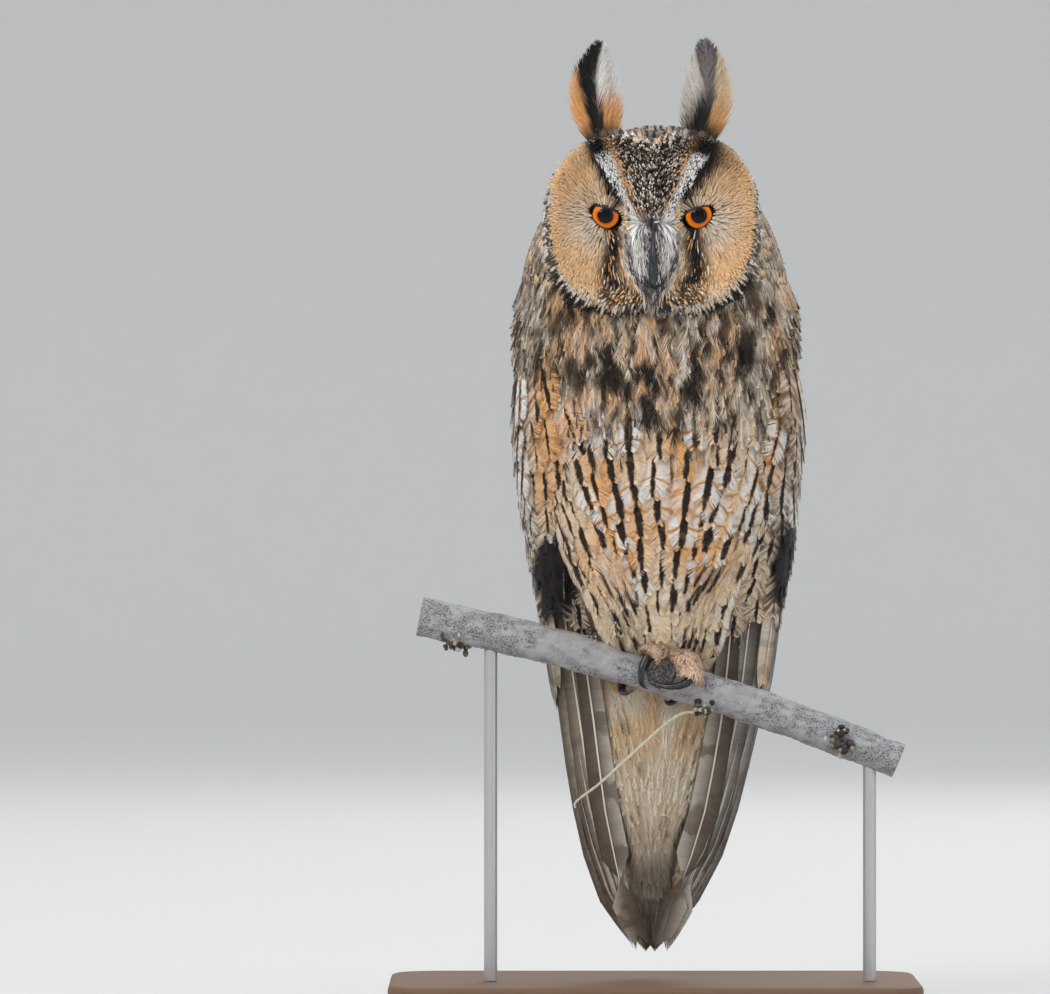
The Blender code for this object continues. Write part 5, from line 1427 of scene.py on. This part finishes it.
# Bill and claws. Each row of a bill half gives y, z, half width and half depth, from the root to the tip
horn = {"dark": tone(20, 21, 25), "pale": tone(58, 64, 74)}
bill = {
    "x": -0.0012,
    "upper": ((-0.0440, 0.3590, 0.0006, 0.0034), (-0.0488, 0.3530, 0.0007, 0.0040),
              (-0.0526, 0.3460, 0.0011, 0.0042), (-0.0552, 0.3390, 0.0019, 0.0040),
              (-0.0554, 0.3325, 0.0022, 0.0029), (-0.0536, 0.3278, 0.0014, 0.0017),
              (-0.0516, 0.3252, 0.0004, 0.0005)),
    "lower": ((-0.0430, 0.3430, 0.0016, 0.0024), (-0.0480, 0.3385, 0.0016, 0.0024),
              (-0.0500, 0.3340, 0.0016, 0.0020), (-0.0502, 0.3300, 0.0012, 0.0012),
              (-0.0498, 0.3285, 0.0006, 0.0005)),
    "nostril": (0.0019, -0.0520, 0.3480), "nostrilSize": 0.0010, "nostrilDepth": 0.0012,
}


def buildHornMaterial():
    made, wire, shader = plainMaterial("darkHorn", horn["dark"], 0.32, 0.25)
    long = wire.add("ShaderNodeMapping", {"Vector": wire.place(), "Scale": (1.0, 1.0, 0.25)})
    grain = wire.noise(long, 700.0, 3.0)
    wire.feed(shader["Base Color"], wire.mix(wire.step(grain, 0.40, 0.75), horn["dark"], horn["pale"]))
    wire.feed(shader["Normal"], wire.bump(grain, 0.15, 0.0002))
    return made


# A bill half: rings square to a path in the middle plane, with the nostrils pressed into the upper one
def buildBillHalf(half, finish):
    rows = easedRow(bill[half], 48)
    along = unit(np.gradient(rows[:, :2], axis=0))
    angle = ringAngles(40)[None]
    out = np.sin(angle) * rows[:, 3:4]
    points = beside(bill["x"] + np.cos(angle) * rows[:, 2:3], rows[:, :1] - along[:, 1:] * out,
                    rows[:, 1:2] + along[:, :1] * out)
    if half == "upper":
        nx, ny, nz = bill["nostril"]
        for side in (-1, 1):
            away = (points - np.array((bill["x"] + side * nx, ny, nz))) / np.array((1, 1, 1.6))
            pressed = np.exp(-(np.linalg.norm(away, axis=-1) / bill["nostrilSize"]) ** 2)
            points[..., 0] -= side * bill["nostrilDepth"] * pressed
    middle = points.mean(1, keepdims=True)
    points = np.concatenate((shrunk(points[:1], middle[:1]), points, shrunk(points[-1:], middle[-1:])))
    finishPiece(ringMesh("bill" + half.capitalize() + "Half", points, True), finish, "horn", "bill_" + half)


# Buds hold the place along the branch, degrees round it and the size of a cluster
perch = {
    "startX": -0.106, "endX": 0.110, "y": -0.018, "midZ": 0.1525, "slope": 0.30, "curve": 0.5,
    "radius": 0.0086, "thinning": 0.3,
    "buds": ((-0.0293, 4, 0.0050), (-0.0880, 168, 0.0058), (0.0830, 96, 0.0062), (0.0245, 146, 0.0052)),
    "budColours": (tone(74, 66, 60), tone(104, 94, 84), tone(184, 178, 166), tone(142, 130, 118),
                   tone(44, 38, 36)),
    "knotX": 0.0026, "knotRadius": 0.0062, "knotY": -0.0284, "knotRise": 0.0016,
    "twig": ((0.0232, -0.0205, 0.1335), (0.0158, -0.0212, 0.1356), (0.0080, -0.0212, 0.1325),
             (-0.0060, -0.0200, 0.1205), (-0.0240, -0.0185, 0.1040), (-0.0350, -0.0180, 0.0955),
             (-0.0360, -0.0180, 0.0922)),
}


def perchZ(x):
    return perch["midZ"] - perch["slope"] * x - perch["curve"] * x * x


# Point by the perch: place along it, degrees round it (0 top, 90 toward the viewer), distance out
def byPerch(x, degrees, out):
    slope = -perch["slope"] - 2 * perch["curve"] * x
    long = np.hypot(slope, 1.0)
    angle = np.radians(degrees)
    return beside(x + out * np.cos(angle) * -slope / long, perch["y"] - out * np.sin(angle),
                  perchZ(x) + out * np.cos(angle) / long)


def buildBarkMaterial():
    made, wire, shader = plainMaterial("greyBark", tone(150, 146, 146), 0.85)
    place = wire.place()
    long = wire.add("ShaderNodeMapping", {"Vector": place, "Scale": (0.6, 1.0, 1.0)})
    coarse = wire.noise(long, 260.0, 5.0)
    fine = wire.noise(place, 1300.0, 3.0)
    patch = wire.noise(long, 55.0, 2.0)
    colour = wire.mix(wire.step(coarse, 0.30, 0.70), tone(140, 139, 142), tone(170, 169, 171))
    colour = wire.mix(wire.times(wire.step(patch, 0.50, 0.70), 0.4), colour, tone(154, 148, 144))
    pits = wire.times(wire.step(fine, 0.50, 0.60), wire.step(wire.plus(coarse, patch), 1.06, 0.90), 0.8)
    colour = wire.mix(pits, colour, tone(66, 60, 62))
    pale = wire.times(wire.step(wire.noise(place, 1700.0, 1.0), 0.62, 0.72), 0.7)
    wire.feed(shader["Base Color"], wire.mix(pale, colour, tone(206, 204, 206)))
    wire.feed(shader["Normal"], wire.bump(wire.plus(coarse, wire.times(fine, 0.5)), 0.6, 0.0005))
    return made


# The branch: rings round a falling path, roughened by a sum of waves along and round it
def buildPerch(finish):
    x, angle = ringGrid(np.linspace(perch["startX"], perch["endX"], 300), 96, 360)
    turn = np.radians(angle)
    radius = perch["radius"] * (1 - perch["thinning"] * (x - perch["startX"]))
    radius = radius + 0.00022 * np.sin(170 * x + 2 * turn) + 0.00016 * np.sin(420 * x - 3 * turn)
    radius = radius + 0.00010 * np.sin(1900 * x + 5 * turn + 3 * np.sin(90 * x))
    radius = radius + 0.00018 * (cloud(x, turn * 0.008, 0.0016, 0.0010, 51) - 0.5)
    for place, degrees, size in perch["buds"]:
        gap = ((x - place) / (size * 1.1)) ** 2 + (((angle - degrees + 180) % 360 - 180) / 42) ** 2
        radius = radius + size * 0.16 * np.exp(-gap)
    points = byPerch(x, angle, radius)
    start, end = (byPerch(np.full((1, 1), perch[key]), 0.0, 0.0) for key in ("startX", "endX"))
    inset = np.array((0.8, 0.4, 1e-4))[:, None, None]
    points = np.concatenate((shrunk(points[:1], start, inset[::-1]), points, shrunk(points[-1:], end, inset)))
    finishPiece(ringMesh("perchBranch", points), finish, "bark", "perch")


# Clusters of small bud scales: flattened globes scattered over a swelling of the branch
def buildBuds():
    off, turn = ringGrid(np.linspace(0.02, math.pi - 0.02, 9), 12)
    globe = beside(np.sin(off) * np.cos(turn), np.sin(off) * np.sin(turn), np.cos(off))
    luck = np.random.default_rng(5)
    parts = []
    tints = []
    for place, degrees, size in perch["buds"]:
        for number in range(46):
            spot = byPerch(place + size * luck.normal(0, 0.45), degrees + luck.normal(0, 17),
                           perch["radius"] + size * luck.uniform(-0.02, 0.62))
            parts.append(spot + globe * size * luck.uniform(0.13, 0.25) * luck.uniform(0.6, 1.5, 3))
            tints.append(perch["budColours"][luck.integers(0, 5)])
    faces = np.concatenate([ringFaces(9, 12, off.size * number)[:, ::-1] for number in range(len(parts))])
    made = meshFrom("perchBuds", np.concatenate(parts).reshape(-1, 3), faces,
                    colours={"tint": np.repeat(tints, off.size, 0)})
    finish, wire, shader = plainMaterial("budScale", tone(80, 70, 62), 0.8)
    shade = wire.math("MULTIPLY_ADD", wire.noise(wire.place(), 1500.0, 2.0), 0.9, 0.55)
    wire.feed(shader["Base Color"], wire.scale(wire.attribute("tint"), shade))
    finishPiece(made, finish, "bark")


# The sawn knot: its front face from the rim inward, then the collar back into the branch
def buildKnot():
    share, turn = ringGrid(np.linspace(0, 1, 26), 64)
    run = np.interp(share, (0, 0.35, 0.45, 1.0), (1.04, 1.08, 0.96, 0.0))
    deep = np.interp(share, (0, 0.35, 0.45, 0.55, 1.0), (0.010, 0.0008, 0.0, 0.0006, 0.0004))
    deep = deep + 0.00018 * np.sin(run * 34) * (share > 0.5)
    radius = perch["knotRadius"] * run * (1 + 0.05 * np.sin(3 * turn + 1) + 0.03 * np.sin(7 * turn))
    points = beside(perch["knotX"] + radius * np.cos(turn), perch["knotY"] + deep,
                    perchZ(perch["knotX"]) + perch["knotRise"] + radius * np.sin(turn))
    finish, wire, shader = plainMaterial("knotWood", tone(74, 64, 60), 0.9)
    grain = wire.noise(wire.place(), 900.0, 4.0)
    wire.feed(shader["Base Color"], wire.mix(wire.step(grain, 0.35, 0.72), tone(44, 40, 40),
                                             tone(112, 106, 104)))
    wire.feed(shader["Normal"], wire.bump(grain, 0.5, 0.0003))
    finishPiece(ringMesh("perchKnot", points), finish, "bark")


def buildTwig():
    share = np.linspace(0, 1, 120)
    radii = 0.0007 * np.interp(share, (0, 0.4, 1.0), (0.9, 1.15, 0.6))
    radii = radii * (1 + 0.12 * np.sin(np.arange(120) * 0.9))
    finish, wire, shader = plainMaterial("paleTwig", tone(206, 198, 176), 0.8)
    grain = wire.noise(wire.place(), 700.0, 3.0)
    wire.feed(shader["Base Color"], wire.mix(grain, tone(166, 152, 128), tone(228, 222, 204)))
    points = tubePoints(easedRow(perch["twig"], 120), radii, 12)
    finishPiece(ringMesh("perchTwig", points), finish, "bark", "perch_twig")


# Toes and claws hold places along the perch and degrees round it
foot = {
    "toeRadius": 0.0046, "sink": 0.0011, "claw": 0.0019, "wisps": 2600, "wispWidth": 0.00042,
    "toes": (((0.0010, -6), (-0.0015, 18), (-0.0036, 38), (-0.0052, 54)),
             ((0.0030, -4), (0.0080, 20), (0.0122, 42), (0.0147, 62), (0.0150, 77)),
             ((-0.0010, -14), (-0.0060, -42), (-0.0092, -80), (-0.0116, -120), (-0.0120, -140)),
             ((0.0040, -14), (0.0090, -42), (0.0118, -80), (0.0124, -112))),
    "claws": (((-0.0058, 66), (-0.0062, 86), (-0.0055, 106), (-0.0036, 124), (-0.0012, 137)),
              ((0.0136, 88), (0.0108, 98), (0.0070, 106), (0.0030, 110), (-0.0008, 111)),
              ((-0.0119, -152), (-0.0112, -168), (-0.0094, -184), (-0.0066, -196)),
              ((0.0122, -124), (0.0112, -142), (0.0094, -158), (0.0072, -170))),
}


# Middle line of a toe, which lies a little sunk on the perch
def toePath(row, count):
    rows = easedRow(row, count)
    return byPerch(rows[:, 0], rows[:, 1], perch["radius"] + foot["toeRadius"] - foot["sink"])


# Down of the standing foot's toes, where they clear the branch, and the claws
def buildFoot(hornFinish):
    share = np.linspace(0, 1, 40)
    radii = foot["toeRadius"] * np.interp(share, (0, 0.4, 0.85, 1.0), (1.10, 1.16, 1.12, 0.84))
    radii = radii * (1 + 0.07 * np.sin(share * math.pi * 5))
    wisps = []
    for number, row in enumerate(foot["toes"]):
        path = toePath(row, 40)
        ring = tubePoints(path, radii, 40, (1.0, 0.2, 0.1))[1:-1]
        i = chance.integers(0, 38, foot["wisps"])
        j = chance.integers(0, 40, foot["wisps"])
        apart = np.random.default_rng(number).uniform(0.0, 1.0, (2, foot["wisps"]))
        place = beside((number + 0.04 + 0.90 * (j + apart[0]) / 40) / 4, 0.02 + 0.95 * (i + apart[1]) / 39)
        root = ring[i, j]
        clear = np.hypot(root[:, 1] - perch["y"], root[:, 2] - perchZ(root[:, 0])) > perch["radius"] + 0.0008
        normal, lie = unit(root - path[i])[clear], unit(path[i + 1] - path[i])[clear]
        wisps.append((root[clear], normal, lie + chance.normal(0, 0.35, lie.shape), place[clear]))
    root, normal, lie, place = (np.concatenate(part) for part in zip(*wisps))
    t = np.linspace(0, 1, 4)[None, :, None]
    long = chance.uniform(0.0013, 0.0023, len(root))[:, None, None]
    path = root[:, None] + lie[:, None] * long * t + normal[:, None] * (0.0006 * np.sin(t * 2.4) - 0.0001)
    tint = mixTint(tone(234, 188, 152), tone(240, 226, 208), luckOf(len(root)))
    tint = mixTint(tint, tone(176, 150, 128), (luckOf(len(root)) > 0.90) * 0.7)
    finish = plumageMaterial("toeDown", 0.85, 0.1, fleck=0.0, barbCount=4.0, rootColour=tone(232, 184, 148))
    normals = np.repeat(normal[:, None], 4, 1)
    buildWisps("footDown", path, normals, foot["wispWidth"], tint, finish, place, "down")
    taper = np.interp(np.linspace(0, 1, 36), (0, 0.33, 0.66, 0.85, 1.0), (1.05, 0.92, 0.66, 0.42, 0.08))
    for number, (toe, claw) in enumerate(zip(foot["toes"], foot["claws"]), 1):
        out = np.interp(np.arange(len(claw)), (0, len(claw) * 0.4, len(claw) - 1), (0.0030, 0.0036, 0.0012))
        x, degrees = np.array((toe[-1], *claw)).T
        out = np.concatenate(((foot["toeRadius"] - foot["sink"],), out))
        path = easedRow(byPerch(x, degrees, perch["radius"] + out), 36)
        made = ringMesh("clawLeft%d" % number, tubePoints(path, foot["claw"] * taper, 20, (0.3, 1.0, 0.2)))
        finishPiece(made, hornFinish, "horn", "claw_left_%d" % number)


skin = {
    "depth": 0.0056, "tailDepth": 0.0035, "wingDepths": (0.0062, 0.0092), "voxel": 0.0015,
    "leg": ((0.003, -0.016, 0.195), (0.0025, -0.017, 0.178), (0.002, -0.0178, 0.1665)), "legRadius": 0.0056,
    "nodes": ("head", "neck", "torso", "tail", "wing_left", "wing_right", "leg_left", "leg_right",
              "foot_right", "foot_left"),
}


# One closed skin under the coat: body, tail, face, wings, toes and leg as rings of points, made one by voxels
def buildSkin():
    turns = np.linspace(-math.pi, math.pi, 96, endpoint=False)
    turn, run = np.meshgrid(turns, np.linspace(0.0008, bodyEnd, 90))
    normal = surfaceNormals(bodySurface, turn, np.clip(run, 0.0015, bodyEnd - 0.001))
    tailZ = np.linspace(0.158, 0.0785, 40)[:, None]
    shapes = [bodySurface(turn, run) - normal * skin["depth"],
              sectionSurface(tailStations, turn[:40], tailZ, skin["tailDepth"])]
    front = [(share, None) for share in (1e-3, 0.1, 0.2, 0.3, 0.4, 0.5, 0.6, 0.7, 0.8, 0.88, 0.94, 0.97)]
    rear = [(0.97, face["rimY"] + 0.006), (0.93, face["middleY"]), (0.80, -0.010), (1e-3, -0.010)]
    rings = []
    for share, y in front + rear:
        x = face["x"] + discReach(turns) * share * np.sin(turns)
        z = face["z"] + discReach(turns) * share * np.cos(turns)
        rings.append(beside(x, discFront(x, z) + face["skinDepth"] if y is None else y, z))
    shapes.append(np.array(rings))
    wingZ = np.linspace(0.300, 0.046, 100)[:, None]
    for side in (-1, 1):
        out, deep = skin["wingDepths"]
        shapes.append(np.concatenate((wingSurface(side, np.linspace(0.03, 0.97, 40)[None], wingZ, out),
                                      wingSurface(side, np.linspace(0.97, 0.03, 40)[None], wingZ, deep)), 1))
    for row in foot["toes"]:
        radii = foot["toeRadius"] * np.interp(np.arange(24), (0, 12, 23), (0.85, 0.8, 0.5))
        shapes.append(tubePoints(toePath(row, 24), radii, 24, (1.0, 0.2, 0.1)))
    shapes.append(tubePoints(easedRow(skin["leg"], 12), np.full(12, skin["legRadius"]), 24, (1.0, 0.2, 0.1)))
    parts = []
    faces = []
    start = 0
    for shape in shapes:
        first, last = (shrunk(ring, ring.mean(1, keepdims=True)) for ring in (shape[:1], shape[-1:]))
        shape = np.concatenate((first, shape, last))
        faces.append(ringFaces(*shape.shape[:2], start))
        parts.append(shape.reshape(-1, 3))
        start += len(parts[-1])
    rough = meshFrom("skinShapes", np.concatenate(parts), np.concatenate(faces))
    remesh = rough.modifiers.new("oneSkin", "REMESH")
    remesh.mode = "VOXEL"
    remesh.voxel_size = skin["voxel"]
    mesh = bpy.data.meshes.new_from_object(rough.evaluated_get(bpy.context.evaluated_depsgraph_get()))
    bpy.data.objects.remove(rough)
    points = np.empty(len(mesh.vertices) * 3, np.float32)
    mesh.vertices.foreach_get("co", points)
    points = points.reshape(-1, 3).astype(float)
    x, y, z = points.T
    tint = mixTint(softTint(points), bellyTint(points), 1 - eased(z, 0.262, 0.285))
    tint = mixTint(tint, wingTint(points), np.maximum(eased(np.abs(x), 0.040, 0.050), eased(y, 0.0, 0.012)))
    tint = mixTint(tint, faceTint(x, z), (y < -0.036) * (1 - eased(discShare(x, z), 0.97, 1.02)))
    # Painted shade: a dark brown patch on the flanks, in the gap between the wing and the belly where shadow
    # falls
    shaded = (z < 0.222) * (z > 0.150) * (np.abs(x) > 0.027) * (y < 0.012)
    tint = mixTint(tint, tone(58, 46, 38), shaded * 0.9)
    tint = mixTint(tint, tone(206, 158, 118), (z < 0.176) * (z > 0.140) * (y < -0.004) * (np.abs(x) < 0.026))
    setTint(mesh, "tint", tint * 0.8)
    corners = np.empty(len(mesh.loops), np.int32)
    mesh.loops.foreach_get("vertex_index", corners)
    # The unwrap is cut down the back; a face that crosses the cut keeps to its left edge
    place = beside(0.01 + 0.98 * (np.arctan2(x, -y) / (2 * math.pi) + 0.5), 0.01 + 0.98 * (0.41 - z) / 0.39)
    place = place[corners].reshape(-1, 4, 2)
    crossing = np.ptp(place[..., 0], axis=1) > 0.5
    place[..., 0] = np.where(crossing[:, None] & (place[..., 0] > 0.5), 0.01, place[..., 0])
    mesh.uv_layers.new(name="OFBake").uv.foreach_set("vector", place.astype(np.float32).ravel())
    finish, wire, shader = plainMaterial("skinDown", plume.buff, 0.9)
    wire.feed(shader["Base Color"], wire.attribute("tint"))
    wire.feed(shader["Normal"], wire.bump(wire.noise(wire.place(), 900.0, 3.0), 0.5, 0.0004))
    finishPiece(linked("owlSkin", mesh), finish, "plumage", *skin["nodes"])


buildCamera()
buildStage()
buildLight()
buildSkin()
buildBreast()
buildBack()
buildWing(1)
buildWing(-1)
buildTail()
buildFace()
buildCrownFringe()
buildRuff()
buildHeadCoat()
buildTuft("right")
buildTuft("left")
eyeFinish = buildEyeMaterial()
for hand in ("left", "right"):
    buildEye(hand, eyeFinish)
    buildLids(hand)
hornFinish = buildHornMaterial()
buildBillHalf("upper", hornFinish)
buildBillHalf("lower", hornFinish)
buildPerch(buildBarkMaterial())
buildBuds()
buildKnot()
buildTwig()
buildFoot(hornFinish)
